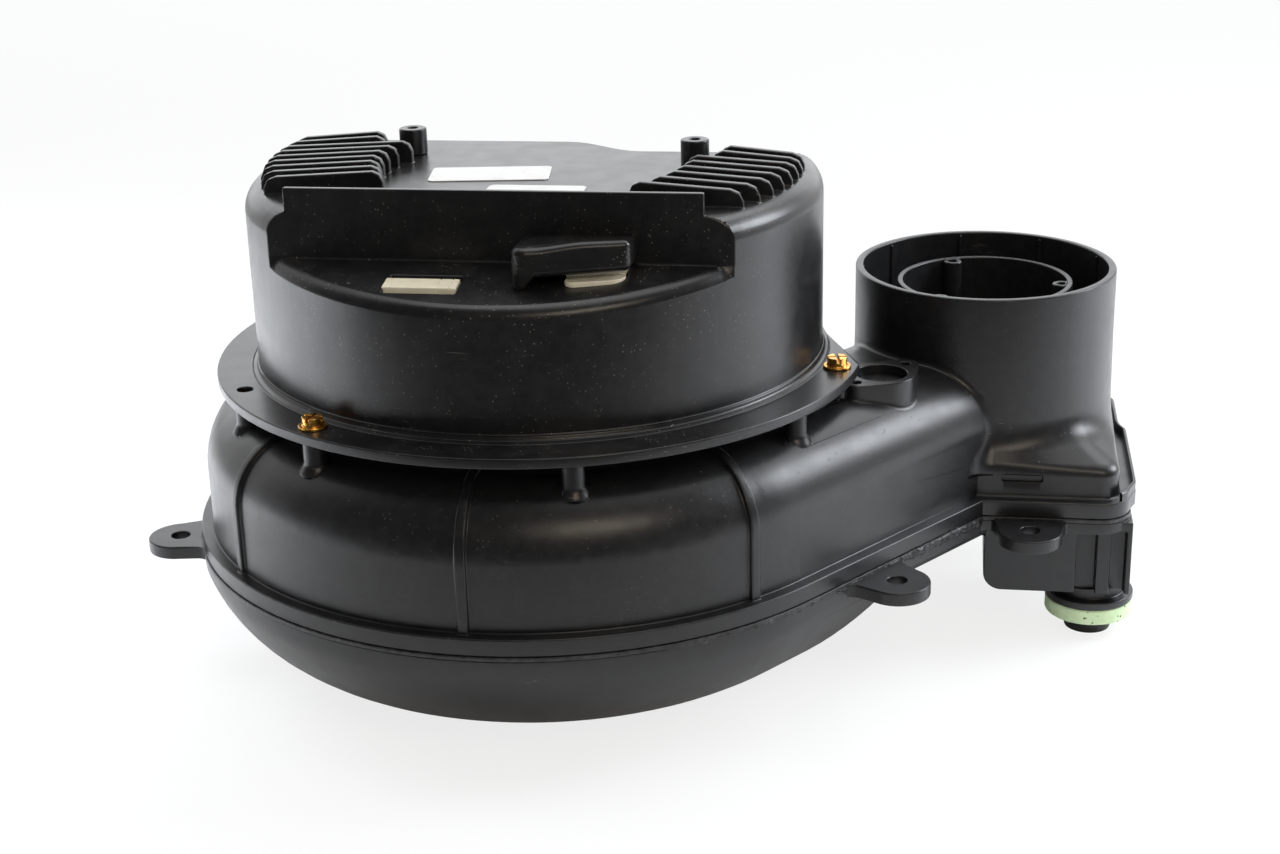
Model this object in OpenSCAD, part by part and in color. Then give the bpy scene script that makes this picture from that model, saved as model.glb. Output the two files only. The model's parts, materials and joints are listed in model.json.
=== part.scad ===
// Combustion fan: finned motor cover on a two-part volute casing with an outlet socket and a drain.
// The fan axis is +Z from the flat bottom, the cover recess faces -Y and the outlet stands towards +X.

/* [Casing] */
// outer radius of the casing wall
casing_radius = 101; // [90:1:122]
// height of the casing top above the flat bottom
casing_height = 79; // [72:1:95]
// height of the joint between the two casing halves
split_height = 36; // [32:1:43]
// rounding of the casing shoulder
shoulder_radius = 19; // [12:1:24]
// thickness of the casing walls
casing_wall = 2.8; // [2:0.2:4]
// thickness of the joint flange on the upper half
joint_thickness = 5; // [3:0.5:7]
// width of the joint flange outside the wall
joint_width = 3.5; // [2.5:0.5:6]
// radius of the rounded section of the lower bowl
bowl_radius = 45; // [40:1:56]
// how far the scroll is drawn in behind the axis
scroll_step = 11; // [6:1:16]
// height of the thin ribs over the casing
rib_height = 1.2; // [0.8:0.1:2]
// height of the weld bead in the joint
bead_height = 1.2; // [0.6:0.2:2]
// depth of the weld bead into the joint
bead_depth = 1.5; // [1:0.1:2]
// how far the weld bead stands out of the joint
bead_swell = 0.4; // [0.2:0.1:0.8]

/* [Outlet] */
// direction of the outlet duct seen from above
duct_angle = 54; // [45:1:60]
// distance from the fan axis to the inner duct wall
duct_inner = 40; // [34:1:46]
// outer radius of the outlet pipe
pipe_radius = 40; // [33:0.5:48]
// wall thickness of the outlet pipe
pipe_wall = 2.4; // [1.8:0.2:3.2]
// height of the pipe rim above the casing top
pipe_rise = 22; // [18:1:40]
// how much wider the pipe is at its foot
pipe_draft = 0.5; // [0.2:0.1:1]
// distance from the outer duct wall in to the pipe axis
pipe_inset = 25.5; // [20:0.5:30]
// distance along the duct to the pipe axis
pipe_along = 118.3; // [110:0.1:140]
// height of the box walls under the pipe
box_height = 50.3; // [46:0.1:54]
// height where the sloped box shoulder meets the pipe
box_shoulder = 57.4; // [55:0.1:62]
// corner rounding of the box
box_corner = 6; // [4:0.5:9]
// outer radius of the inner outlet sleeve
sleeve_radius = 27; // [22:0.5:31]
// how far the sleeve rim lies under the pipe rim
sleeve_drop = 5; // [3:0.5:8]

/* [Drain] */
// height of the floor under the drain sump
sump_floor = 10.5; // [9:0.5:14]
// height of the shallow pan under the outlet duct
pan_floor = 29; // [26:0.5:30]
// radius of the drain spigot
spigot_radius = 7; // [5.5:0.5:9]
// radius of the drain seal
seal_radius = 13.4; // [11:0.2:16]
// thickness of the drain seal
seal_thickness = 5; // [4:0.5:7]
// radius of the bore through the drain spigot
spigot_bore = 5; // [3.5:0.5:5.5]
// how much wider the spigot is where the seal sits
seal_step = 0.4; // [0.2:0.1:0.8]

/* [Mounting] */
// radius of the holes in the mounting ears
ear_hole = 2.75; // [2.2:0.05:3.4]
// radius of a mounting ear around its hole
ear_radius = 9.5; // [8:0.5:12]
// distance from the joint flange edge out to the ear hole
ear_reach = 8; // [7:0.5:10]
// thickness of a mounting ear
ear_thickness = 4; // [3:0.5:6]
// radius of the sensor port bore
port_radius = 7.5; // [6:0.25:9]

/* [Cover] */
// radius of the motor cover
dome_radius = 83.5; // [74:0.5:86]
// height of the motor cover above its flange
dome_height = 54; // [48:1:66]
// rounding of the cover edge
dome_rounding = 7; // [4:0.5:10]
// thickness of the cover walls
cover_wall = 3; // [2.4:0.2:3.4]
// outer radius of the cover flange
flange_radius = 95.7; // [93:0.1:99]
// thickness of the cover flange
flange_thickness = 3; // [2.5:0.5:4]
// gap under the cover flange that the posts bridge
air_gap = 6; // [5:0.5:10]
// distance from the fan axis to the cover screws
screw_circle = 90; // [88:0.5:91]
// distance from the fan axis to the flat recess wall
recess_offset = 53.8; // [52:0.2:58]
// depth of the recess at its wall
recess_depth = 13.5; // [11:0.5:15]
// how much lower the recess floor lies at its front
recess_fall = 4; // [1:0.5:5]
// height of the raised plate over the recess wall
plate_height = 6; // [4:0.5:8]
// distance between neighbouring cooling fins
fin_pitch = 6.35; // [5.5:0.05:7]
// thickness of a cooling fin
fin_thickness = 2.4; // [1.6:0.1:3]
// height of a cooling fin at its inner end
fin_height = 6.5; // [5:0.1:8]
// how much lower a fin is at its outer end
fin_fall = 1.8; // [1:0.1:3]

/* [Motor] */
// radius of the fan shaft
shaft_radius = 4; // [3.2:0.1:5]
// outer radius of the shaft bearings
bearing_radius = 11; // [10:0.5:13]
// width of a shaft bearing
bearing_width = 7; // [6:0.5:9]
// outer radius of the rotor bell
bell_radius = 45; // [42:0.5:48]
// height of the laminated stator
stator_height = 18; // [14:1:20]
// air gap between the stator teeth and the magnets
magnet_gap = 1.5; // [0.6:0.1:2]

/* [Impeller] */
// outer radius of the impeller
impeller_radius = 72; // [60:1:80]
// height of the impeller blades
blade_height = 26; // [20:1:28]
// number of impeller blades
blade_count = 9; // [7:1:11]
// inner radius of the air inlet
inlet_radius = 29; // [25:0.5:31]

/* [Hidden] */
$fn = 96;

slack = 0.2;
snug = 0.05;
cut = 1;
plan_turn = duct_angle - 90;
pipe_across = casing_radius - pipe_inset;
pipe_x = pipe_across * cos(plan_turn) + pipe_along * cos(duct_angle);
pipe_y = pipe_across * sin(plan_turn) + pipe_along * sin(duct_angle);
pipe_azimuth = atan2(pipe_y, pipe_x);
pipe_top = casing_height + pipe_rise;
pipe_seat = casing_height + 1;
box_x = pipe_radius + 1.4;
box_y = pipe_radius + 4.3;
rim_radius = casing_radius + joint_width;
rim_low = split_height - joint_thickness;
bowl_axis = rim_radius - sqrt(pow(bowl_radius, 2) - pow(bowl_radius - rim_low, 2));
ramp_start = 6;
ramp_end = 42;
rib_angles = [-137, -91.7, -45.8];
rib_width = 3;
screw_angles = [-122, -9.3, 104];
plain_angles = [-74, -28.5];
open_angle = -148;
post_radius = 3.2;
post_foot = 4.8;
screw_radius = 1.7;
screw_hole = 2.2;
screw_depth = 10;
washer_radius = 4;
washer_thickness = 0.8;
head_radius = 2.9;
head_height = 2.4;
ear_top = split_height - 1;
left_ear_angle = -163.6;
left_ear_out = rim_radius + ear_reach - 1;
left_ear = [left_ear_out * cos(left_ear_angle), left_ear_out * sin(left_ear_angle)];
duct_ear_along = 28.6;
duct_ear = [(rim_radius + ear_reach) * cos(plan_turn) + duct_ear_along * cos(duct_angle),
            (rim_radius + ear_reach) * sin(plan_turn) + duct_ear_along * sin(duct_angle)];
box_ear = [pipe_x + 15, pipe_y - box_y - joint_width - ear_reach + 1];
outlet_start = pipe_along - pipe_radius - pipe_draft - 1.5;
outlet_side = duct_inner - joint_width / 2;
port_along = 56.3;
port_across = casing_radius - 17;
port_top = casing_height + 4;
port_screw = 11.4;
port_screw_hole = 1.4;
port_screw_depth = 5;
port_rim = 2.3;
port_lobe = 3.7;
drain_x = pipe_x + box_x - 6.7;
drain_y = pipe_y - box_y + 13.1;
sump_proud = 0.4;
disc_top = 7;
disc_low = 4.5;
lip_start = 9;
lip_length = 48;
lip_width = 2;
slot_left = 6.4;
slot_width = 12.3;
slot_height = 2.2;
slot_drop = 4.4;
slot_depth = 1.2;
pocket_lefts = [11.9, 1.8];
pocket_widths = [6, 4.6];
pocket_depth = 4;
pocket_height = 20.5;
sump_left = 2;
sump_right = box_x + 4.4;
sump_corner = 5.5;
sump_depth = box_y + 10;
sleeve_boss = 2.9;
crush_rib = 0.9;
crush_rib_length = 15.2;
crush_rib_drop = 0.8;
spigot_low = disc_low - seal_thickness - 5.5;
collar_low = disc_low - seal_thickness - 0.5;
seal_hole = spigot_radius + seal_step;

cover_low = casing_height + air_gap;
flange_top = cover_low + flange_thickness;
dome_top = flange_top + dome_height;
recess_floor = dome_top - recess_depth;
rear_floor = dome_top - recess_depth;
rear_left = 34;
rear_right = 22;
fin_left_ends = [-35.5, -37.5, -39.5, -40.5, -40.5, -39.5, -37, -46.5, -48];
fin_right_ends = [34.4, 39, 42, 44, 45.5, 46, 52.4, 54];
fin_left_start = -35;
fin_right_start = -43;
fin_outer = dome_radius - 5.3;
fin_sink = 2;
top_posts = [[-40, 15.6, 7.8], [46.8, 0.3, 8.6]];
top_post_radius = 4.1;
top_post_hole = 1.5;
plate_left = -58.6;
plate_length = 114.5;
plate_thickness = 2;
base_radius = dome_radius - cover_wall + 1;
cavity_radius = dome_radius - cover_wall;
boss_circle = cavity_radius - 4;
boss_angles = [30, 150, 270];
boss_radius = 4.5;
boss_height = 14;
small_screw = 1.5;
small_head = 2.7;
small_head_height = 2;
stand_x = 46;
stand_front = -42;
stand_back = 10;
stand_radius = 3.5;
board_thickness = 1.6;
board_left = -52;
board_front = -48;
board_length = 104;
board_depth = 63.5;
board_z = dome_top - cover_wall - 11;
board_top = board_z + board_thickness;
can_radius = 4.6;
can_length = 24;
can_front = -26;
can_places = [-30, -18];
choke_place = [8, -28];
choke_outer = 11;
choke_inner = 5;
choke_height = 7.5;
driver_place = [18, -14];
driver_size = [22, 18, 4];

tube_wall = 2.5;
tube_radius = bearing_radius + tube_wall;
lower_bearing_z = cover_low + 1;
tube_height = 30;
tube_top = flange_top + tube_height;
upper_bearing_z = tube_top - bearing_width - 1;
bearing_shoulder = bearing_radius - 2;
shield = 0.5;
inner_ring = shaft_radius + 1.6;
shield_hole = inner_ring + 0.4;
stator_z = flange_top + 7;
yoke_radius = tube_radius + 6;
bell_wall = 2;
magnet_outer = bell_radius - bell_wall;
magnet_thickness = 4.5;
tooth_tip = magnet_outer - magnet_thickness - magnet_gap;
tooth_count = 9;
tooth_width = 5;
bell_low = stator_z - 2;
bell_top = tube_top + 4;
bell_hub = 8;
shaft_top = bell_top + 1;
seal_seat = 12;
seal_low = casing_height - casing_wall;
seal_clear = 0.35;

nozzle_wall = 2.5;
inlet_lip = 6;
nozzle_radius = inlet_radius + nozzle_wall;
shroud_eye = nozzle_radius + 1.5;
shroud_z = split_height - 2;
shroud_thickness = 2;
blade_z = shroud_z + shroud_thickness;
back_z = blade_z + blade_height;
back_thickness = 2;
hub_low = back_z - 10;
hub_top = back_z + back_thickness + 6;
hub_radius = shaft_radius + 6;
blade_arc = 45;
blade_centre = 30;
blade_thickness = 1.8;
blade_inner = shroud_eye + 2.5;
nut_height = 5;
nut_washer = 1;
shaft_low = hub_low - nut_washer - nut_height - 2;

hood_left = 7;
hood_right = 38;
hood_front_left = -74;
hood_front_right = -66;
hood_top = dome_top - 3.6;
hood_low = recess_floor + 1;
hood_wall = 1.6;
plug_front = -70;
plug_back = -64.2;
plug_left = 20.5;
plug_width = 15.6;
plug_height = 6.6;
plug_step = hood_low - recess_floor - slack;
header_left = -27;
header_front = -74;
header_length = 19.6;
header_depth = 10.6;
header_height = 4.6;
header_top = recess_floor - 1.6;
label_thickness = 0.3;
wide_label = [34.4, 16.4];
wide_label_place = [-11, -10];
wide_label_turn = 7;
narrow_label = [27.5, 22.5];
narrow_label_place = [-8, -46];

volute_upper();
outlet_box();
volute_lower();
seam_bead();
outlet_sleeve();
drain_seal();
inlet_ring();
motor_cover();
cover_posts();
motor_base();
cover_screws();
base_screws();
board_screws();
connector_hood();
mains_connector();
signal_connector();
label_wide();
label_narrow();
control_board();
bus_capacitors();
line_choke();
driver_module();
stator_core();
stator_coils();
rotor_bell();
magnet_ring();
shaft();
lower_bearing_outer();
lower_bearing_inner();
upper_bearing_outer();
upper_bearing_inner();
shaft_seal();
impeller();
impeller_shroud();
impeller_washer();
impeller_nut();

// a plain round hole or rod standing on a given height
module rod(radius, low, high) {
    translate([0, 0, low]) cylinder(r = radius, h = high - low);
}

// a ring between two heights
module ring(outer, inner, low, high) {
    difference() {
        rod(outer, low, high);
        rod(inner, low - cut, high + cut);
    }
}

// a rectangle with rounded corners about the origin
module soft_rect(half_x, half_y, corner) {
    difference() {
        square([2 * half_x, 2 * half_y], center = true);
        for (side = [-1, 1])
            for (end = [-1, 1])
                difference() {
                    translate([side * half_x, end * half_y])
                        square(2 * corner, center = true);
                    translate([side * (half_x - corner), end * (half_y - corner)])
                        circle(corner);
                    translate([side * (half_x - 2 * corner), end * half_y])
                        square(2 * corner, center = true);
                    translate([side * half_x, end * (half_y - 2 * corner)])
                        square(2 * corner, center = true);
                }
    }
}

// half section of a wall with a rounded upper shoulder
module shoulder_profile(inner, outer, low, high, round) {
    difference() {
        translate([inner, low]) square([outer - inner, high - low]);
        difference() {
            translate([outer - round, high - round]) square(round + cut);
            translate([outer - round, high - round]) circle(round);
        }
    }
}

// half section of the lower bowl, drawn in by a step and an inset
module bowl_profile(inner, step, inset) {
    reach = inset > 0 ? casing_radius - casing_wall - step : rim_radius - step;
    high = inset > 0 ? split_height + cut : split_height;
    intersection() {
        union() {
            translate([inner, inset]) square([bowl_axis - step - inner, high - inset]);
            translate([bowl_axis - step, bowl_radius]) circle(bowl_radius - inset);
        }
        translate([inner, 0]) square([reach - inner, high]);
    }
}

// plan outline of the casing, grown outwards
module casing_plan(grow) {
    big = 2 * casing_radius;
    rotate(plan_turn) {
        intersection() {
            circle(casing_radius + grow);
            translate([-big, -2 * big]) square(2 * big);
        }
        intersection() {
            translate([-scroll_step, 0]) circle(casing_radius - scroll_step + grow);
            translate([-big, 0]) square(2 * big);
        }
        translate([duct_inner - grow, 0])
            square([casing_radius - duct_inner + 2 * grow, pipe_along]);
    }
    box_plan(grow);
}

// plan outline of the box under the outlet pipe
module box_plan(grow) {
    translate([pipe_x, pipe_y])
        soft_rect(box_x + grow, box_y + grow, box_corner + grow);
}

// scroll and duct of the upper half, drawn in by a wall for the hollow
module upper_scroll(inset) {
    low = inset > 0 ? split_height - cut : split_height + cut;
    high = casing_height - inset;
    outer = casing_radius - inset;
    round = shoulder_radius - inset;
    rotate(plan_turn) {
        rotate(180) rotate_extrude(angle = 180) shoulder_profile(0, outer, low, high, round);
        translate([-scroll_step, 0, 0])
            rotate_extrude(angle = 180)
                shoulder_profile(0, outer - scroll_step, low, high, round);
        translate([0, pipe_along, 0]) rotate([90, 0, 0]) linear_extrude(pipe_along)
            intersection() {
                shoulder_profile(duct_inner + inset, outer, low, high, round);
                translate([duct_inner + inset + outer, 0]) mirror([1, 0])
                    shoulder_profile(duct_inner + inset, outer, low, high, round);
            }
    }
}

// sloped shoulder between the box walls and the outlet pipe
module box_slope() {
    skin = 0.1;
    hull() {
        translate([0, 0, box_height - skin]) linear_extrude(skin)
            translate([pipe_x, pipe_y])
                soft_rect(box_x, box_y, box_corner, $fn = 32);
        translate([pipe_x, pipe_y, box_shoulder - skin])
            cylinder(r = pipe_radius + pipe_draft + 0.3, h = skin, $fn = 64);
    }
}

// a small post that carries the cover flange
module post(angle) {
    rotate(angle) translate([screw_circle, 0, 0]) {
        rod(post_radius, casing_height - shoulder_radius / 3, cover_low);
        translate([0, 0, casing_height - 4])
            cylinder(r1 = post_foot, r2 = post_radius, h = 3.2);
    }
}

// oval flange of the sensor port on the duct
module port_body(low, high) {
    rod(port_radius + port_rim, low, high);
    translate([-port_lobe, -port_screw, low])
        cube([2 * port_lobe, 2 * port_screw, high - low]);
    for (end = [-1, 1]) translate([0, end * port_screw, 0]) rod(port_lobe, low, high);
}

// scroll, duct and joint flange of the upper half, still closed
module upper_body() {
    upper_scroll(0);
    translate([0, 0, split_height]) linear_extrude(joint_thickness) casing_plan(joint_width);
}

// air space of the upper half, from the scroll to the outlet
module upper_hollow() {
    union() {
        upper_scroll(casing_wall);
        translate([0, 0, split_height - cut])
            linear_extrude(box_height - split_height - casing_wall + cut)
                box_plan(-casing_wall);
        translate([pipe_x, pipe_y, 0]) pipe_bore();
    }
}

// space of the outlet box, beyond a flat joint across the end of the duct
module outlet_space() {
    far = 2 * pipe_along;
    linear_extrude(pipe_top + cut) rotate(plan_turn)
        polygon([[outlet_side, outlet_start], [outlet_side - far / 4, outlet_start + far * 3 / 8],
                 [outlet_side - far / 4, outlet_start + far],
                 [outlet_side + far, outlet_start + far], [outlet_side + far, outlet_start]]);
}

module volute_upper() {
    color([0.09, 0.095, 0.105])
    difference() {
        union() {
            upper_body();
            for (angle = rib_angles)
                rotate(angle - rib_width / casing_radius * 90 / PI)
                    rotate_extrude(angle = rib_width / casing_radius * 180 / PI)
                        shoulder_profile(casing_radius / 2, casing_radius + rib_height,
                                         split_height + cut, casing_height + rib_height,
                                         shoulder_radius + rib_height);
            for (angle = concat(screw_angles, plain_angles, [open_angle])) post(angle);
            rotate(plan_turn) translate([port_across, port_along, 0])
                port_body(casing_height - 9, port_top);
        }
        upper_hollow();
        rod(seal_seat, casing_height - 2 * casing_wall, casing_height + cut);
        for (angle = concat(screw_angles, [open_angle]))
            rotate(angle) translate([screw_circle, 0, 0])
                rod(screw_radius, flange_top - screw_depth, cover_low + cut);
        rotate(plan_turn) translate([port_across, port_along, 0]) {
            rod(port_radius, casing_height - 20, port_top + cut);
            for (end = [-1, 1])
                translate([0, end * port_screw, 0])
                    rod(port_screw_hole, port_top - port_screw_depth, port_top + cut);
        }
        outlet_space();
    }
}

module outlet_box() {
    color([0.09, 0.095, 0.105])
    intersection() {
        difference() {
            union() {
                upper_body();
                translate([0, 0, split_height + cut])
                    linear_extrude(box_height - split_height - cut) box_plan(0);
                box_slope();
                translate([pipe_x, pipe_y, 0]) pipe_body();
                translate([pipe_x + box_x - cut, pipe_y - box_y + lip_start, split_height])
                    cube([cut + joint_width + lip_width, lip_length, joint_thickness]);
            }
            upper_hollow();
            translate([pipe_x + slot_left, pipe_y - box_y - cut, box_height - slot_drop])
                cube([slot_width, cut + slot_depth, slot_height]);
        }
        outlet_space();
    }
}

// outlet pipe, tapered at its foot and straight where a flue coupling slides over it
module pipe_body() {
    low = box_height - 2 * cut;
    rotate_extrude()
        polygon([[0, low], [pipe_radius + pipe_draft, low], [pipe_radius, pipe_seat],
                 [pipe_radius, pipe_top], [0, pipe_top]]);
}

// bore of the outlet pipe with its small crush ribs left standing
module pipe_bore() {
    difference() {
        rod(pipe_radius - pipe_wall, split_height - cut, pipe_top + cut);
        for (turn = [0:40:320])
            rotate(turn + 22) translate([pipe_radius - pipe_wall, 0, 0])
                rod(crush_rib, pipe_top - crush_rib_drop - crush_rib_length,
                    pipe_top - crush_rib_drop);
    }
}

// an ear beside the joint, with its web back to the casing
module ear(place, towards) {
    translate([place[0], place[1], 0]) {
        rod(ear_radius, ear_top - ear_thickness, ear_top);
        translate([0, 0, ear_top - ear_thickness]) linear_extrude(ear_thickness)
            rotate(towards)
                polygon([[0, -ear_radius], [ear_reach - 2, -ear_radius - 0.8],
                         [ear_reach + joint_width, -ear_radius - 5],
                         [ear_reach + joint_width, ear_radius + 5],
                         [ear_reach - 2, ear_radius + 0.8], [0, ear_radius]]);
        rotate(towards) translate([ear_hole + 1, 2, 0]) rotate([90, 0, 0]) linear_extrude(4)
            polygon([[0, ear_top - ear_thickness + cut], [0, ear_top - ear_thickness],
                     [ear_reach, ear_top - ear_thickness - 6], [ear_reach, ear_top - cut]]);
    }
}

// scroll and duct of the lower half, drawn in by a wall for the hollow
module lower_scroll(inset) {
    high = inset > 0 ? split_height + cut : split_height;
    rotate(plan_turn) {
        rotate(180) rotate_extrude(angle = 180) bowl_profile(0, 0, inset);
        translate([-scroll_step, 0, 0])
            rotate_extrude(angle = 180) bowl_profile(0, scroll_step, inset);
        intersection() {
            translate([0, pipe_along, 0]) rotate([90, 0, 0]) linear_extrude(pipe_along)
                bowl_profile(duct_inner + inset, 0, inset);
            rotate([90, 0, 90]) linear_extrude(2 * casing_radius)
                polygon([[0, inset], [ramp_start, inset], [ramp_end, pan_floor + inset],
                         [pipe_along, pan_floor + inset], [pipe_along, high], [0, high]]);
        }
    }
}

// drain sump under the box, seen from the front it has one rounded corner
module sump_body() {
    translate([pipe_x, pipe_y - box_y - sump_proud + sump_depth, 0])
        rotate([90, 0, 0]) linear_extrude(sump_depth)
            difference() {
                translate([sump_left, sump_floor])
                    square([sump_right - sump_left, split_height - sump_floor - 2]);
                difference() {
                    translate([sump_left - cut, sump_floor - cut]) square(sump_corner + cut);
                    translate([sump_left + sump_corner, sump_floor + sump_corner])
                        circle(sump_corner);
                }
            }
}

module volute_lower() {
    front = pipe_y - box_y;
    color([0.085, 0.09, 0.10])
    difference() {
        union() {
            lower_scroll(0);
            translate([0, 0, rim_low]) linear_extrude(joint_thickness - bead_height)
                casing_plan(joint_width);
            translate([0, 0, rim_low]) linear_extrude(joint_thickness)
                casing_plan(joint_width - bead_depth);
            translate([0, 0, pan_floor - cut]) linear_extrude(split_height - pan_floor + cut)
                box_plan(0);
            sump_body();
            ear(left_ear, left_ear_angle + 180);
            ear(duct_ear, 180 + plan_turn);
            ear(box_ear, 90);
            translate([drain_x, drain_y, 0]) {
                rod(spigot_radius, spigot_low, sump_floor + casing_wall);
                rod(seal_hole, collar_low, sump_floor);
                rod(spigot_radius + 3.5, disc_low, sump_floor + cut);
                rod(seal_radius, disc_low, disc_top);
            }
        }
        bead_band();
        union() {
            lower_scroll(casing_wall);
            translate([0, 0, pan_floor + casing_wall - cut]) linear_extrude(split_height)
                box_plan(-casing_wall);
            translate([pipe_x + 5, front + 8, sump_floor + casing_wall])
                cube([box_x - 4, box_y - 2, split_height]);
            translate([drain_x, drain_y, 0]) rod(spigot_bore, spigot_low - cut, sump_floor + 4);
        }
        for (place = [left_ear, duct_ear, box_ear])
            translate([place[0], place[1], 0])
                rod(ear_hole, ear_top - ear_thickness - cut, split_height + cut);
        rod(nozzle_radius + slack, -cut, casing_wall + cut);
        for (i = [0, 1])
            translate([pipe_x + box_x - pocket_lefts[i], front - cut, sump_floor])
                cube([pocket_widths[i], cut + pocket_depth, pocket_height]);
    }
}

// the band of the joint that the weld bead fills
module bead_band() {
    translate([0, 0, split_height - bead_height]) linear_extrude(bead_height)
        difference() {
            casing_plan(joint_width + bead_swell);
            casing_plan(joint_width - bead_depth);
        }
}

module seam_bead() {
    color([0.04, 0.04, 0.045]) bead_band();
}

module outlet_sleeve() {
    floor_z = casing_height - 2;
    top = pipe_top - sleeve_drop;
    inner = sleeve_radius - 1.8;
    color([0.08, 0.085, 0.095])
    translate([pipe_x, pipe_y, 0]) {
        difference() {
            union() {
                rod(sleeve_radius, floor_z - 4, top);
                rod(pipe_radius - pipe_wall - snug, floor_z, floor_z + 2);
            }
            rod(inner, floor_z - 5, top + cut);
        }
        for (angle = [-5, 115, 235])
            rotate(angle) difference() {
                intersection() {
                    translate([inner - 1.6, 0, 0]) rod(sleeve_boss, top - 14, top - 0.3);
                    rod(sleeve_radius - 0.5, top - 14, top);
                }
                translate([inner - 1.6, 0, 0]) rod(sleeve_boss / 2, top - 12, top + cut);
            }
    }
}

module drain_seal() {
    color([0.72, 0.86, 0.66])
    translate([drain_x, drain_y, 0])
        ring(seal_radius - 0.2, seal_hole, disc_low - seal_thickness, disc_low);
}

module inlet_ring() {
    color([0.1, 0.1, 0.11])
    difference() {
        union() {
            rod(nozzle_radius, 0, shroud_z + 1);
            rod(nozzle_radius + inlet_lip, casing_wall, casing_wall + nozzle_wall);
        }
        rod(inlet_radius, -cut, shroud_z + 2);
    }
}

// half section of the cover shell
module dome_profile(radius, low, high, round) {
    shoulder_profile(0, radius, low, high, round);
}

// the space in front of the recess wall, grown by a wall for the hollow
module recess_space(grow) {
    reach = dome_radius + 10;
    front_floor = recess_floor - recess_fall;
    translate([-reach, 0, 0]) rotate([90, 0, 90]) linear_extrude(2 * reach)
        polygon([[-recess_offset + grow, recess_floor - grow], [-recess_offset + grow, dome_top + 20],
                 [-reach, dome_top + 20], [-reach, front_floor - grow],
                 [-recess_offset - 27, front_floor - grow]]);
}

// the lowered space behind the top of the cover, grown by a wall for the hollow
module rear_space(grow) {
    reach = dome_radius + 10;
    bend = [for (i = [0:8]) [4 + 3 * i, rear_left - grow
            - (rear_left - rear_right) * (1 - cos(i * 22.5)) / 2]];
    translate([0, 0, rear_floor - grow]) linear_extrude(dome_top)
        polygon(concat([[-reach, reach], [-reach, rear_left - grow]], bend,
                       [[reach, rear_right - grow], [reach, reach]]));
}

// one cooling fin, from its inner end at x to its outer end
module fin(inner, outer) {
    side = outer > inner ? 1 : -1;
    tall = dome_top + fin_height;
    translate([0, fin_thickness / 2, 0]) rotate([90, 0, 0]) linear_extrude(fin_thickness)
        polygon([[inner, dome_top - fin_sink], [inner, tall - 3], [inner + side * 0.9, tall - 0.9],
                 [inner + side * 3, tall], [outer - side * 3.6, tall - fin_fall],
                 [outer - side * 1.1, tall - fin_fall - 1], [outer, tall - fin_fall - 3.4],
                 [outer, dome_top - fin_sink]]);
}

module fins() {
    for (i = [0:len(fin_left_ends) - 1]) {
        y = fin_left_start + i * fin_pitch;
        translate([0, y, 0]) fin(fin_left_ends[i], -sqrt(pow(fin_outer, 2) - pow(y, 2)));
    }
    for (i = [0:len(fin_right_ends) - 1]) {
        y = fin_right_start + i * fin_pitch;
        translate([0, y, 0]) fin(fin_right_ends[i], sqrt(pow(fin_outer, 2) - pow(y, 2)));
    }
}

// the places of the control board screws
module at_stands() {
    for (x = [-stand_x, stand_x])
        for (y = [stand_front, stand_back])
            translate([x, y, 0]) children();
}

// hollow inside of the cover with its bosses left standing
module cover_hollow() {
    difference() {
        union() {
            rod(base_radius + slack, cover_low - cut, flange_top);
            rotate_extrude()
                dome_profile(cavity_radius, cover_low, dome_top - cover_wall,
                             dome_rounding - cover_wall);
        }
        recess_space(cover_wall);
        rear_space(cover_wall);
        for (angle = boss_angles)
            rotate(angle) translate([boss_circle, 0, 0])
                rod(boss_radius, flange_top + 0.4, flange_top + boss_height);
        at_stands() rod(stand_radius, board_top, dome_top);
    }
}

module motor_cover() {
    color([0.075, 0.08, 0.09])
    difference() {
        union() {
            difference() {
                rotate_extrude() {
                    dome_profile(dome_radius, cover_low, dome_top, dome_rounding);
                    polygon([[dome_radius - 1, flange_top - 1], [dome_radius + 2, flange_top - 1],
                             [dome_radius + 2, flange_top + 0.3], [dome_radius + 0.6, flange_top + 0.6],
                             [dome_radius + 0.3, flange_top + 2], [dome_radius - 1, flange_top + 2]]);
                }
                recess_space(0);
                rear_space(0);
            }
            difference() {
                rod(flange_radius, cover_low, flange_top);
                rotate(pipe_azimuth) translate([dome_radius + 0.7, -100, cover_low - cut])
                    cube([50, 200, flange_thickness + 2 * cut]);
            }
            translate([plate_left, -recess_offset, recess_floor])
                cube([plate_length, plate_thickness, recess_depth + plate_height]);
            fins();
        }
        cover_hollow();
        for (angle = concat(screw_angles, [open_angle]))
            rotate(angle) translate([screw_circle, 0, 0])
                rod(screw_hole, cover_low - cut, flange_top + cut);
        for (angle = boss_angles)
            rotate(angle) translate([boss_circle, 0, 0])
                rod(small_screw, flange_top - cut, flange_top + 9);
        at_stands() rod(small_screw, board_top - cut, board_top + 7);
        plug_pocket();
        header_pocket();
    }
}

module cover_posts() {
    color([0.075, 0.08, 0.09])
    for (place = top_posts)
        translate([place[0], place[1], 0])
            difference() {
                rod(top_post_radius, dome_top, dome_top + place[2]);
                rod(top_post_hole, dome_top + cut, dome_top + place[2] + cut);
            }
}

// the opening in the recess floor that the signal connector sits in
module header_pocket() {
    translate([header_left - slack / 2, header_front - slack / 2, header_top - header_height - cut])
        cube([header_length + slack, header_depth + slack, header_height + 8]);
}

// the opening in the recess wall that the mains connector passes through
module plug_pocket() {
    translate([plug_left - slack, -recess_offset - cut, recess_floor + 2 - slack])
        cube([plug_width + 2 * slack, cover_wall + 2, 4 + 2 * slack]);
}

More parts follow.
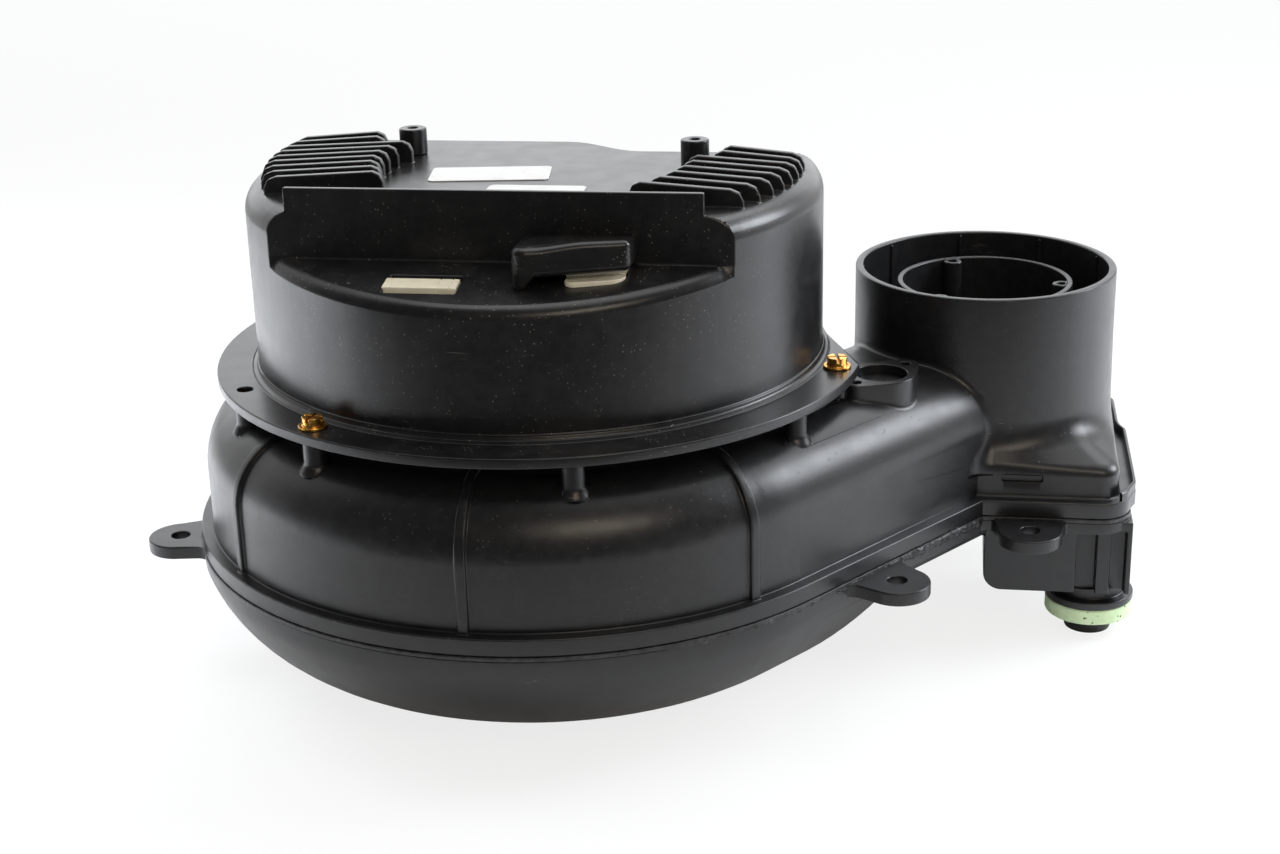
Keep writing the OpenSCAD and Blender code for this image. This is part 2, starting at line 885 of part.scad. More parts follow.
module motor_base() {
    color([0.55, 0.56, 0.57])
    difference() {
        union() {
            rod(base_radius, cover_low, flange_top);
            rod(tube_radius, flange_top - cut, tube_top);
        }
        rod(bearing_radius, cover_low - cut, lower_bearing_z + bearing_width);
        rod(bearing_shoulder, cover_low, tube_top);
        rod(bearing_radius, upper_bearing_z, tube_top + cut);
        for (angle = boss_angles)
            rotate(angle) translate([boss_circle, 0, 0])
                rod(small_screw + slack, cover_low - cut, flange_top + cut);
    }
}

module cover_screws() {
    color([0.80, 0.62, 0.22])
    for (angle = screw_angles)
        rotate(angle) translate([screw_circle, 0, 0]) difference() {
            union() {
                rod(screw_radius, flange_top - screw_depth, flange_top + cut);
                rod(washer_radius, flange_top, flange_top + washer_thickness);
                rod(head_radius, flange_top, flange_top + washer_thickness + head_height);
            }
            for (turn = [20, 110])
                rotate(turn) translate([-4, -0.4, flange_top + washer_thickness + head_height - 1.2])
                    cube([8, 0.8, 2]);
        }
}

module base_screws() {
    color([0.6, 0.6, 0.6])
    for (angle = boss_angles)
        rotate(angle) translate([boss_circle, 0, 0]) {
            rod(small_screw, cover_low - cut, flange_top + 8);
            rod(small_head, cover_low - small_head_height, cover_low);
        }
}

module board_screws() {
    color([0.6, 0.6, 0.6])
    at_stands() {
        rod(small_screw, board_z - cut, board_top + 6);
        rod(small_head, board_z - small_head_height, board_z);
    }
}

// plan outline of the connector hood, drawn in by a wall
module hood_plan(inset) {
    back = -recess_offset;
    slope = (hood_front_right - hood_front_left) / (hood_right - hood_left);
    left = hood_left + inset;
    right = hood_right - inset;
    polygon([[left, back], [left, hood_front_left + slope * inset + inset + 3 * (inset > 0 ? 0 : 1)],
             [left + (inset > 0 ? 0 : 3), hood_front_left + slope * inset + inset],
             [right, hood_front_left + slope * (right - hood_left) + inset], [right, back]]);
}

module connector_hood() {
    color([0.07, 0.075, 0.085])
    difference() {
        translate([0, 0, hood_low]) linear_extrude(hood_top - hood_low) hood_plan(0);
        translate([0, 0, hood_low - cut]) linear_extrude(hood_top - hood_low - hood_wall + cut)
            hood_plan(hood_wall);
    }
    color([0.07, 0.075, 0.085])
    translate([hood_left, -recess_offset - 8, recess_floor]) cube([hood_wall, 8, 2]);
}

module mains_connector() {
    color([0.88, 0.84, 0.72]) {
        intersection() {
            union() {
                translate([plug_left, plug_front, recess_floor - recess_fall])
                    cube([plug_width, -recess_offset - plug_front, plug_step + recess_fall]);
                translate([plug_left, plug_back, recess_floor - cut])
                    cube([plug_width, -recess_offset - plug_back, plug_height + cut]);
            }
            recess_space(0);
        }
        translate([plug_left, -recess_offset - cut, recess_floor + 2])
            cube([plug_width, cut + cover_wall + 1.5, 4]);
    }
}

module signal_connector() {
    color([0.92, 0.88, 0.76])
    translate([header_left, header_front, header_top - header_height]) difference() {
        cube([header_length, header_depth, header_height]);
        translate([1.6, 1.6, header_height - 0.6])
            cube([header_length - 3.2, header_depth - 3.2, cut]);
    }
}

module label_wide() {
    color([0.94, 0.94, 0.92])
    translate([wide_label_place[0], wide_label_place[1], dome_top]) rotate(wide_label_turn)
        translate([-wide_label[0] / 2, -wide_label[1] / 2, 0])
            cube([wide_label[0], wide_label[1], label_thickness]);
}

module label_narrow() {
    color([0.94, 0.94, 0.92])
    translate([narrow_label_place[0], narrow_label_place[1], dome_top])
        cube([narrow_label[0], narrow_label[1], label_thickness]);
}

module control_board() {
    color([0.1, 0.32, 0.2])
    difference() {
        translate([board_left, board_front, board_z])
            cube([board_length, board_depth, board_thickness]);
        at_stands() rod(small_screw + slack, board_z - cut, board_top + cut);
    }
}

module bus_capacitors() {
    color([0.16, 0.17, 0.24])
    for (x = can_places)
        translate([x, can_front, board_top + can_radius]) rotate([-90, 0, 0])
            cylinder(r = can_radius, h = can_length);
}

module line_choke() {
    color([0.62, 0.36, 0.16])
    translate(choke_place) ring(choke_outer, choke_inner, board_top, board_top + choke_height);
}

module driver_module() {
    color([0.1, 0.1, 0.1])
    translate([driver_place[0], driver_place[1], board_top]) cube(driver_size);
}

module stator_core() {
    color([0.42, 0.43, 0.45])
    translate([0, 0, stator_z]) linear_extrude(stator_height)
        difference() {
            union() {
                circle(yoke_radius);
                for (i = [0:tooth_count - 1]) rotate(i * 360 / tooth_count) {
                    translate([yoke_radius - 2, -tooth_width / 2])
                        square([tooth_tip - yoke_radius, tooth_width]);
                    intersection() {
                        difference() {
                            circle(tooth_tip);
                            circle(tooth_tip - 2.5);
                        }
                        translate([yoke_radius, -9]) square([tooth_tip, 18]);
                    }
                }
            }
            circle(tube_radius);
        }
}

module stator_coils() {
    color([0.72, 0.38, 0.16])
    for (i = [0:tooth_count - 1]) rotate(i * 360 / tooth_count)
        difference() {
            translate([yoke_radius + 1.5, -tooth_width, stator_z - 3])
                cube([tooth_tip - yoke_radius - 5, 2 * tooth_width, stator_height + 6]);
            translate([yoke_radius, -tooth_width / 2, stator_z])
                cube([tooth_tip, tooth_width, stator_height]);
        }
}

module rotor_bell() {
    color([0.5, 0.51, 0.53])
    difference() {
        union() {
            rod(bell_radius, bell_low, bell_top);
            rod(bell_hub, tube_top + 1, bell_top);
        }
        difference() {
            rod(magnet_outer, bell_low - cut, bell_top - bell_wall);
            rod(bell_hub, tube_top + 1, bell_top);
        }
        rod(shaft_radius, bell_low - cut, bell_top + cut);
    }
}

module magnet_ring() {
    color([0.22, 0.22, 0.23])
    ring(magnet_outer, magnet_outer - magnet_thickness, stator_z, stator_z + stator_height);
}

module shaft() {
    color([0.72, 0.73, 0.75]) rod(shaft_radius, shaft_low, shaft_top);
}

// outer ring of a bearing with its two shields
module bearing_outer(low) {
    difference() {
        rod(bearing_radius, low, low + bearing_width);
        rod(shield_hole, low - cut, low + bearing_width + cut);
        rod(bearing_radius - 1.8, low + shield, low + bearing_width - shield);
    }
}

module lower_bearing_outer() {
    color([0.66, 0.67, 0.69]) bearing_outer(lower_bearing_z);
}

module lower_bearing_inner() {
    color([0.70, 0.71, 0.73])
    ring(inner_ring, shaft_radius, lower_bearing_z, lower_bearing_z + bearing_width);
}

module upper_bearing_outer() {
    color([0.66, 0.67, 0.69]) bearing_outer(upper_bearing_z);
}

module upper_bearing_inner() {
    color([0.70, 0.71, 0.73])
    ring(inner_ring, shaft_radius, upper_bearing_z, upper_bearing_z + bearing_width);
}

module shaft_seal() {
    color([0.16, 0.12, 0.1])
    ring(seal_seat, shaft_radius + seal_clear, seal_low, casing_height + 1);
}

// plan of one curved blade
module blade_plan() {
    intersection() {
        difference() {
            circle(impeller_radius - 2);
            circle(blade_inner);
        }
        translate([blade_centre, 0]) difference() {
            circle(blade_arc);
            circle(blade_arc - blade_thickness);
        }
        translate([-cut, 0]) square(impeller_radius + 2);
    }
}

module impeller() {
    color([0.2, 0.21, 0.22])
    difference() {
        union() {
            rod(impeller_radius, back_z, back_z + back_thickness);
            rod(hub_radius, hub_low, hub_top);
            for (i = [0:blade_count - 1]) rotate(i * 360 / blade_count)
                translate([0, 0, blade_z]) linear_extrude(blade_height + 0.5) blade_plan();
        }
        rod(shaft_radius, hub_low - cut, hub_top + cut);
    }
}

module impeller_shroud() {
    color([0.2, 0.21, 0.22])
    ring(impeller_radius, shroud_eye, shroud_z, blade_z);
}

module impeller_washer() {
    color([0.7, 0.71, 0.72])
    ring(shaft_radius + 4, shaft_radius, hub_low - nut_washer, hub_low);
}

module impeller_nut() {
    color([0.7, 0.71, 0.72])
    difference() {
        translate([0, 0, hub_low - nut_washer - nut_height])
            cylinder(r = shaft_radius + 3.5, h = nut_height, $fn = 6);
        rod(shaft_radius, hub_low - nut_washer - nut_height - cut, hub_low);
    }
}
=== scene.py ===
"""Combustion fan: softened mouldings, finishes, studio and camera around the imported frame."""
import json
import logging
import math
from dataclasses import dataclass, field
from enum import Enum
from typing import Callable, Sequence

import bmesh
import bpy
from mathutils import Matrix, Vector, noise
from mathutils.bvhtree import BVHTree


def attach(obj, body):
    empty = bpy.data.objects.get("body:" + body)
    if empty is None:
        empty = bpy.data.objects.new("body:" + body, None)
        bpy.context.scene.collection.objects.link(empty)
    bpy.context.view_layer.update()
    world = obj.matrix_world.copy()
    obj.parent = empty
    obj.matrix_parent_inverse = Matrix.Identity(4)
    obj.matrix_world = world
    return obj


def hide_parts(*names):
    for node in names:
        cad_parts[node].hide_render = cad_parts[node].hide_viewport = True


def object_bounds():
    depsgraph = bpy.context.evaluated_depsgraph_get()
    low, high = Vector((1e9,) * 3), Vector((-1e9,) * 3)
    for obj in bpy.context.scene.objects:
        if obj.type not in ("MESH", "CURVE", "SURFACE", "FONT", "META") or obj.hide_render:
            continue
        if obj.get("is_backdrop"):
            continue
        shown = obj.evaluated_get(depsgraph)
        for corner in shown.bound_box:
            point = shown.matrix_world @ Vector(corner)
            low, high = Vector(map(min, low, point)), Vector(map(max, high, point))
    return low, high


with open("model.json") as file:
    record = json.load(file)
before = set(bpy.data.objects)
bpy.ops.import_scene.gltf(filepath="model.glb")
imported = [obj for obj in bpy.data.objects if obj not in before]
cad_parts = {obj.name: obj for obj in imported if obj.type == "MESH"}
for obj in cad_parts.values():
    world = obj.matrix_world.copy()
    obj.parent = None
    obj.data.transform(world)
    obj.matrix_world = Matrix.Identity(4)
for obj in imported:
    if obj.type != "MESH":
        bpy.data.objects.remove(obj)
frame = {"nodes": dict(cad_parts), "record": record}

log = logging.getLogger("combustion_fan")

MM = 0.001
CAD_BOX = tuple(corner.copy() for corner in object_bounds())

Colour = tuple[float, float, float]
Place = tuple[float, float, float]
Socket = bpy.types.NodeSocket
Spot = tuple[float, float]
WHITE: Colour = (1.0, 1.0, 1.0)


class Body(Enum):
    """The two bodies of the frame that pieces ride on."""

    CASING = "casing"
    ROTOR = "rotor"


class Lay(Enum):
    """Which way the marks of a finish run, as a stretch of its pattern along x, y and z."""

    EVEN = (1.0, 1.0, 1.0)
    LEVEL = (0.05, 0.05, 1.0)
    UPRIGHT = (1.0, 1.0, 0.06)
    SLANTED = (0.05, 0.9, 1.0)


class Sum(Enum):
    """One step of arithmetic on two values of a finish."""

    TIMES = "MULTIPLY"
    PLUS = "ADD"
    LARGER = "MAXIMUM"


class Carve(Enum):
    """What one solid does to another."""

    REMOVE = "DIFFERENCE"
    JOIN = "UNION"


# finishes


class NodeKit:
    """Adds and joins the nodes of one material or of the world."""

    def __init__(self, owner: bpy.types.Material | bpy.types.World, shader: str) -> None:
        """Starts from the plain nodes of a new material or world.

        Args:
            owner: the material or world.
            shader: name of the shader node that it starts with.
        """
        owner.use_nodes = True
        self.tree = owner.node_tree
        self.shader = self.tree.nodes[shader]
        self.coordinates = self.add("ShaderNodeTexCoord").outputs

    def add(self, kind: str, **inputs: float | Place | Socket) -> bpy.types.Node:
        """Adds a node.

        Args:
            kind: the kind of node.
            inputs: what its inputs are set or linked to, named with underscores for blanks.

        Returns:
            The new node.
        """
        made = self.tree.nodes.new(kind)
        for name, value in inputs.items():
            self.join(value, made.inputs[name.replace("_", " ")])
        return made

    def join(self, source: Socket | float | Colour, target: Socket) -> None:
        """Links or sets an input.

        Args:
            source: a socket that is linked, or a plain number or colour that is set.
            target: the input.
        """
        if isinstance(source, bpy.types.NodeSocket):
            self.tree.links.new(source, target)
        elif target.type == "RGBA":
            target.default_value = (*source, 1.0)
        else:
            target.default_value = source

    def set(self, **values: float | Colour | Socket) -> None:
        """Sets the shader's own inputs, named with underscores for blanks."""
        for name, value in values.items():
            self.join(value, self.shader.inputs[name.replace("_", " ")])

    def stretched(self, lay: Lay) -> Socket:
        """Draws a pattern out along a direction.

        Args:
            lay: which way the pattern runs.

        Returns:
            The place on the piece, stretched for the pattern.
        """
        place = self.coordinates["Object"]
        if lay is Lay.EVEN:
            return place
        return self.add("ShaderNodeMapping", Vector=place, Scale=lay.value).outputs["Vector"]

    def noise(self, grain: float, detail: float = 3.0, lay: Lay = Lay.EVEN) -> Socket:
        """Soft cloudy noise.

        Args:
            grain: size of its features in metres.
            detail: how many finer layers it holds.
            lay: which way it is drawn out.

        Returns:
            The noise, about 0 to 1.
        """
        made = self.add("ShaderNodeTexNoise", Vector=self.stretched(lay), Scale=1.0 / grain,
                        Detail=detail)
        return made.outputs["Fac"]

    def dots(self, spacing: float) -> Socket:
        """Scatters points over the piece.

        Args:
            spacing: their usual distance in metres.

        Returns:
            The distance to the nearest point, in spacings.
        """
        made = self.add("ShaderNodeTexVoronoi", Vector=self.coordinates["Object"],
                        Scale=1.0 / spacing)
        return made.outputs["Distance"]

    def bands(self, pitch: float) -> Socket:
        """Lays even bands one above the other.

        Args:
            pitch: height of one band in metres.

        Returns:
            The bands, 0 to 1 and back.
        """
        made = self.add("ShaderNodeTexWave", Vector=self.coordinates["Object"],
                        Scale=math.pi / 10.0 / pitch)
        made.bands_direction = "Z"
        return made.outputs["Fac"]

    def ramp(self, value: Socket, low: float, high: float, start: float = 0.0,
             end: float = 1.0) -> Socket:
        """Spreads a value between two limits and holds it there.

        Args:
            value: what is spread.
            low: the value that gives start.
            high: the value that gives end.
            start: result at the low limit.
            end: result at the high limit.

        Returns:
            The spread value.
        """
        made = self.add("ShaderNodeMapRange", Value=value, From_Min=low, From_Max=high,
                        To_Min=start, To_Max=end)
        made.interpolation_type = "SMOOTHSTEP"
        return made.outputs["Result"]

    def worked(self, how: Sum, first: Socket, second: Socket | float) -> Socket:
        """Does one step of arithmetic.

        Args:
            how: the step.
            first: its first value.
            second: its second value.

        Returns:
            The result.
        """
        made = self.add("ShaderNodeMath")
        made.operation = how.value
        for value, target in zip((first, second), made.inputs):
            self.join(value, target)
        return made.outputs[0]

    def times(self, first: Socket, second: Socket | float) -> Socket:
        """Product of two values."""
        return self.worked(Sum.TIMES, first, second)

    def plus(self, first: Socket, second: Socket) -> Socket:
        """Sum of two values."""
        return self.worked(Sum.PLUS, first, second)

    def mix(self, share: Socket, first: Socket | Colour, second: Socket | Colour) -> Socket:
        """Blends two colours.

        Args:
            share: share of the second colour.
            first: the first colour.
            second: the second colour.

        Returns:
            The blended colour.
        """
        made = self.add("ShaderNodeMix")
        made.data_type = "RGBA"
        for value, name in ((share, "Factor"), (first, "A"), (second, "B")):
            self.join(value, made.inputs[name])
        return made.outputs["Result"]

    def either(self, share: Socket, first: bpy.types.Node, second: bpy.types.Node) -> bpy.types.Node:
        """Blends two shaders.

        Args:
            share: share of the second shader.
            first: the first shader.
            second: the second shader.

        Returns:
            The node of the blended shader.
        """
        made = self.add("ShaderNodeMixShader")
        for value, target in zip((share, first.outputs[0], second.outputs[0]), made.inputs):
            self.join(value, target)
        return made

    def upward(self) -> Socket:
        """How far the surface faces up, from -1 to 1."""
        facing = self.add("ShaderNodeNewGeometry").outputs["Normal"]
        return self.add("ShaderNodeSeparateXYZ", Vector=facing).outputs["Z"]

    def bump(self, height: Socket, depth: float) -> None:
        """Roughens the surface by a height.

        Args:
            height: the pattern, 0 to 1.
            depth: its full depth in metres.
        """
        self.set(Normal=self.add("ShaderNodeBump", Height=height, Distance=depth).outputs["Normal"])


@dataclass(frozen=True)
class Finish:
    """A finish that becomes the material of its slot, which each kind paints in its own way."""

    slot: str

    def material(self) -> bpy.types.Material:
        """Makes the finish as a node material.

        Returns:
            The new material.
        """
        made = bpy.data.materials.new(self.slot)
        self.paint(NodeKit(made, "Principled BSDF"))
        return made

    def paint(self, kit: NodeKit) -> None:
        """Adds the finish's own nodes.

        Args:
            kit: the nodes of the finish's material.
        """
        raise NotImplementedError


@dataclass(frozen=True)
class MouldedPlastic(Finish):
    """Moulded plastic with a mottled colour, a fine grain, dust and handling scratches."""

    dark: Colour
    light: Colour
    roughness: float = 0.4
    grain: float = 0.5 * MM
    grain_depth: float = 0.02 * MM
    dust: float = 0.5
    dust_colour: Colour = (0.33, 0.295, 0.245)
    dust_spacing: float = 1.9 * MM
    mottle: float = 3 * MM
    scratch_width: float = 0.55 * MM
    scratch_patch: float = 14 * MM
    scratch_share: float = 0.25
    dust_patch: float = 9 * MM
    haze_share: float = 0.02
    uneven: float = 6 * MM

    def paint(self, kit: NodeKit) -> None:
        """Adds the finish's own nodes.

        Args:
            kit: the nodes of the finish's material.
        """
        mottle = kit.ramp(kit.noise(self.mottle, 5.0), 0.3, 0.75)
        colour = kit.mix(mottle, self.dark, self.light)
        scratch = kit.times(
            kit.ramp(kit.noise(self.scratch_width, 2.0, Lay.SLANTED), 0.66, 0.78),
            kit.ramp(kit.noise(self.scratch_patch, 2.0), 0.5, 0.7))
        colour = kit.mix(kit.times(scratch, self.scratch_share), colour, self.dust_colour)
        lying = kit.times(kit.ramp(kit.noise(self.dust_patch, 4.0), 0.36, 0.66),
                          kit.ramp(kit.upward(), -0.15, 0.75, 0.5, 1.0))
        specks = kit.times(kit.ramp(kit.dots(self.dust_spacing), 0.08, 0.15, 1.0, 0.0), lying)
        colour = kit.mix(kit.times(specks, self.dust), colour, self.dust_colour)
        haze = kit.times(lying, self.haze_share * self.dust)
        rough = kit.ramp(kit.noise(self.uneven, 4.0), 0.25, 0.75, self.roughness - 0.02,
                         self.roughness + 0.03)
        kit.set(Base_Color=kit.mix(haze, colour, self.dust_colour),
                Roughness=kit.plus(rough, kit.times(specks, 0.3)))
        kit.bump(kit.plus(kit.noise(self.grain, 2.0), kit.times(specks, 2.0)), self.grain_depth)


@dataclass(frozen=True)
class PlatedMetal(Finish):
    """Plated, drawn or ground metal with faint tool marks and uneven colour."""

    bright: Colour
    dull: Colour
    roughness: float = 0.3
    marks: Lay = Lay.LEVEL
    mark_size: float = 0.35 * MM
    mark_depth: float = 0.012 * MM
    blotch: float = 2.4 * MM

    def paint(self, kit: NodeKit) -> None:
        """Adds the finish's own nodes.

        Args:
            kit: the nodes of the finish's material.
        """
        blotch = kit.ramp(kit.noise(self.blotch, 4.0), 0.35, 0.68)
        lines = kit.noise(self.mark_size, 3.0, self.marks)
        rough = kit.ramp(lines, 0.3, 0.7, self.roughness - 0.07, self.roughness + 0.1)
        kit.set(Base_Color=kit.mix(blotch, self.bright, self.dull), Metallic=1.0, Roughness=rough)
        kit.bump(lines, self.mark_depth)


@dataclass(frozen=True)
class SpeckledFoam(Finish):
    """Closed foam rubber, pale, with dark specks and small pores."""

    pale: Colour
    deep: Colour
    speck: Colour
    cloud: float = 3 * MM
    speck_spacing: float = 1.7 * MM
    speck_patch: float = 2.3 * MM
    pore: float = 0.4 * MM
    pore_depth: float = 0.08 * MM

    def paint(self, kit: NodeKit) -> None:
        """Adds the finish's own nodes.

        Args:
            kit: the nodes of the finish's material.
        """
        body = kit.mix(kit.ramp(kit.noise(self.cloud, 4.0), 0.35, 0.7), self.pale, self.deep)
        chosen = kit.ramp(kit.noise(self.speck_patch, 1.0), 0.47, 0.53)
        specks = kit.times(kit.ramp(kit.dots(self.speck_spacing), 0.16, 0.25, 1.0, 0.0), chosen)
        kit.set(Base_Color=kit.mix(specks, body, self.speck), Roughness=0.85,
                Specular_IOR_Level=0.25)
        kit.bump(kit.plus(kit.noise(self.pore, 3.0), kit.times(specks, -1.0)), self.pore_depth)


@dataclass(frozen=True)
class PlainSheet(Finish):
    """Paper, card or lacquered board with a fibre grain and faint stains."""

    face: Colour
    stain: Colour
    roughness: float = 0.6
    fibre: float = 0.3 * MM
    specular: float = 0.4
    stain_size: float = 7 * MM
    stain_share: float = 0.6
    fibre_depth: float = 0.01 * MM

    def paint(self, kit: NodeKit) -> None:
        """Adds the finish's own nodes.

        Args:
            kit: the nodes of the finish's material.
        """
        stains = kit.times(kit.ramp(kit.noise(self.stain_size, 5.0), 0.5, 0.8), self.stain_share)
        fibres = kit.noise(self.fibre, 3.0, Lay.SLANTED)
        rough = kit.ramp(fibres, 0.3, 0.7, self.roughness - 0.08, self.roughness + 0.08)
        kit.set(Base_Color=kit.mix(stains, self.face, self.stain), Roughness=rough,
                Specular_IOR_Level=self.specular)
        kit.bump(fibres, self.fibre_depth)


@dataclass(frozen=True)
class StackedMetal(Finish):
    """Metal that shows even layers: stacked sheet, or wire laid turn by turn."""

    crest: Colour
    groove: Colour
    pitch: float
    roughness: float = 0.4
    wear_size: float = 3 * MM
    uneven: float = 1.2 * MM
    layer_depth: float = 0.1 * MM

    def paint(self, kit: NodeKit) -> None:
        """Adds the finish's own nodes.

        Args:
            kit: the nodes of the finish's material.
        """
        layers = kit.bands(self.pitch)
        worn = kit.ramp(kit.noise(self.wear_size, 4.0), 0.3, 0.7, 0.7, 1.0)
        rough = kit.ramp(kit.noise(self.uneven, 3.0), 0.3, 0.7, self.roughness - 0.08,
                         self.roughness + 0.1)
        kit.set(Base_Color=kit.mix(kit.times(layers, worn), self.groove, self.crest),
                Metallic=1.0, Roughness=rough)
        kit.bump(layers, self.layer_depth)


CASING_BLACK = MouldedPlastic("casing_black", (0.0062, 0.0063, 0.007), (0.0105, 0.0106, 0.0115), 0.34,
                              dust=0.12)
COVER_BLACK = MouldedPlastic("cover_black", (0.0055, 0.0056, 0.0063), (0.0095, 0.0096, 0.0105), 0.3,
                             dust=0.9, dust_spacing=1.35 * MM)
BEAD_BLACK = MouldedPlastic("bead_black", (0.005, 0.005, 0.0054), (0.03, 0.03, 0.032), 0.4,
                            grain=0.9 * MM, grain_depth=0.25 * MM, dust=0.6)
INNER_BLACK = MouldedPlastic("inner_black", (0.012, 0.012, 0.013), (0.022, 0.022, 0.024), 0.48)
CREAM_PLASTIC = MouldedPlastic("cream_plastic", (0.76, 0.70, 0.53), (0.83, 0.77, 0.61), 0.45,
                               dust=0.2, dust_colour=(0.32, 0.27, 0.18))
MODULE_BLACK = MouldedPlastic("module_black", (0.012, 0.012, 0.012), (0.02, 0.02, 0.02), 0.55)
IMPELLER_GREY = MouldedPlastic("impeller_grey", (0.035, 0.036, 0.038), (0.06, 0.061, 0.064), 0.5,
                               grain=0.9 * MM)
SEAL_BROWN = MouldedPlastic("seal_brown", (0.02, 0.012, 0.008), (0.034, 0.02, 0.013), 0.6, dust=0.2)
YELLOW_ZINC = PlatedMetal("yellow_zinc", (0.86, 0.50, 0.12), (0.62, 0.28, 0.06), 0.26, Lay.EVEN)
PLAIN_STEEL = PlatedMetal("plain_steel", (0.62, 0.62, 0.62), (0.46, 0.46, 0.48), 0.32)
CAST_ALLOY = PlatedMetal("cast_alloy", (0.58, 0.59, 0.60), (0.42, 0.43, 0.45), 0.46, Lay.EVEN,
                         0.7 * MM, 0.05 * MM)
DRAWN_STEEL = PlatedMetal("drawn_steel", (0.50, 0.51, 0.53), (0.37, 0.38, 0.40), 0.34, Lay.UPRIGHT)
BEARING_STEEL = PlatedMetal("bearing_steel", (0.64, 0.65, 0.67), (0.54, 0.55, 0.58), 0.18)
MAGNET_GREY = PlatedMetal("magnet", (0.19, 0.19, 0.20), (0.11, 0.11, 0.12), 0.6, Lay.EVEN,
                          0.5 * MM, 0.04 * MM)
CAN_DARK = PlatedMetal("can_dark", (0.10, 0.105, 0.16), (0.06, 0.065, 0.10), 0.36, Lay.UPRIGHT)
SEAL_GREEN = SpeckledFoam("seal_green", (0.62, 0.77, 0.50), (0.54, 0.70, 0.42), (0.07, 0.11, 0.05))
LABEL_WHITE = PlainSheet("label_white", (0.84, 0.84, 0.83), (0.70, 0.69, 0.65), 0.75,
                         specular=0.12)
BOARD_GREEN = PlainSheet("board_green", (0.022, 0.13, 0.06), (0.012, 0.07, 0.035), 0.35, 0.9 * MM)
COPPER = StackedMetal("copper", (0.72, 0.30, 0.11), (0.22, 0.07, 0.02), 0.8 * MM, 0.32)
LAMINATION = StackedMetal("lamination", (0.40, 0.41, 0.43), (0.17, 0.17, 0.18), 0.5 * MM, 0.42)

FINISHES = (CASING_BLACK, COVER_BLACK, BEAD_BLACK, INNER_BLACK, CREAM_PLASTIC, MODULE_BLACK,
            IMPELLER_GREY, SEAL_BROWN, YELLOW_ZINC, PLAIN_STEEL, CAST_ALLOY, DRAWN_STEEL,
            BEARING_STEEL, MAGNET_GREY, CAN_DARK, SEAL_GREEN, LABEL_WHITE, BOARD_GREEN, COPPER,
            LAMINATION)


class Paintbox:
    """Makes each finish's material once and hands it out by slot."""

    def __init__(self) -> None:
        """Starts with no material made."""
        self.finishes = {finish.slot: finish for finish in FINISHES}
        self.made: dict[str, bpy.types.Material] = {}

    def material(self, slot: str) -> bpy.types.Material:
        """Hands out the material of a slot, made on first use.

        Args:
            slot: the slot's name.

        Returns:
            The slot's material.
        """
        if slot not in self.made:
            self.made[slot] = self.finishes[slot].material()
        return self.made[slot]


PAINT = Paintbox()


# mesh work shared by the pieces


@dataclass(frozen=True)
class Softening:
    """How the edges of a moulding are rounded."""

    width: float = 0.45 * MM
    segments: int = 2
    least_angle: float = math.radians(32)
    most_angle: float = math.radians(125)
    least_length: float = 0.12 * MM
    least_turn: float = math.radians(75)


WELD = 0.003 * MM
FLAT = math.radians(0.5)
SHARP = math.radians(40)
QUARTER = math.pi / 2
DUCT_TURN = Matrix.Rotation(math.radians(-36.0), 3, "Z")


def raw_mesh(node: str) -> bmesh.types.BMesh:
    """A welded working copy of a node's mesh.

    Args:
        node: the node's name in the frame.

    Returns:
        The working mesh, which the caller turns into a piece.
    """
    work = bmesh.new()
    work.from_mesh(frame["nodes"][node].data)
    bmesh.ops.remove_doubles(work, verts=work.verts, dist=WELD)
    return work


def tidy(work: bmesh.types.BMesh) -> None:
    """Welds a working mesh, makes its flat faces whole and turns its faces outwards.

    Args:
        work: the mesh that is tidied.
    """
    bmesh.ops.remove_doubles(work, verts=work.verts, dist=WELD)
    bmesh.ops.dissolve_degenerate(work, edges=work.edges, dist=WELD)
    bmesh.ops.dissolve_limit(work, angle_limit=FLAT, verts=work.verts, edges=work.edges)
    bmesh.ops.recalc_face_normals(work, faces=work.faces)


def node_mesh(node: str) -> bmesh.types.BMesh:
    """Takes a tidied working copy of a node's mesh.

    Args:
        node: the node's name in the frame.

    Returns:
        The working mesh.
    """
    work = raw_mesh(node)
    tidy(work)
    return work


def add_mesh(work: bmesh.types.BMesh, other: bmesh.types.BMesh) -> None:
    """Puts another working mesh into this one.

    Args:
        work: the mesh that grows.
        other: the mesh that is put in, freed here.
    """
    held = bpy.data.meshes.new("held")
    other.to_mesh(held)
    other.free()
    work.from_mesh(held)
    bpy.data.meshes.remove(held)


def carve(work: bmesh.types.BMesh, tool: bmesh.types.BMesh, how: Carve) -> bmesh.types.BMesh:
    """Joins a closed solid to another, or takes it away.

    Args:
        work: the solid that is changed, freed here.
        tool: the solid that changes it, freed here.
        how: whether the tool is joined or taken away.

    Returns:
        The changed solid.
    """
    held = []
    for name, solid in (("carved", work), ("tool", tool)):
        mesh = bpy.data.meshes.new(name)
        solid.to_mesh(mesh)
        solid.free()
        held.append(bpy.data.objects.new(name, mesh))
        bpy.context.scene.collection.objects.link(held[-1])
    step = held[0].modifiers.new("carve", "BOOLEAN")
    step.operation = how.value
    step.solver = "EXACT"
    step.object = held[1]
    seen = held[0].evaluated_get(bpy.context.evaluated_depsgraph_get())
    result = bmesh.new()
    result.from_mesh(seen.to_mesh())
    seen.to_mesh_clear()
    for shown in held:
        mesh = shown.data
        bpy.data.objects.remove(shown)
        bpy.data.meshes.remove(mesh)
    return result


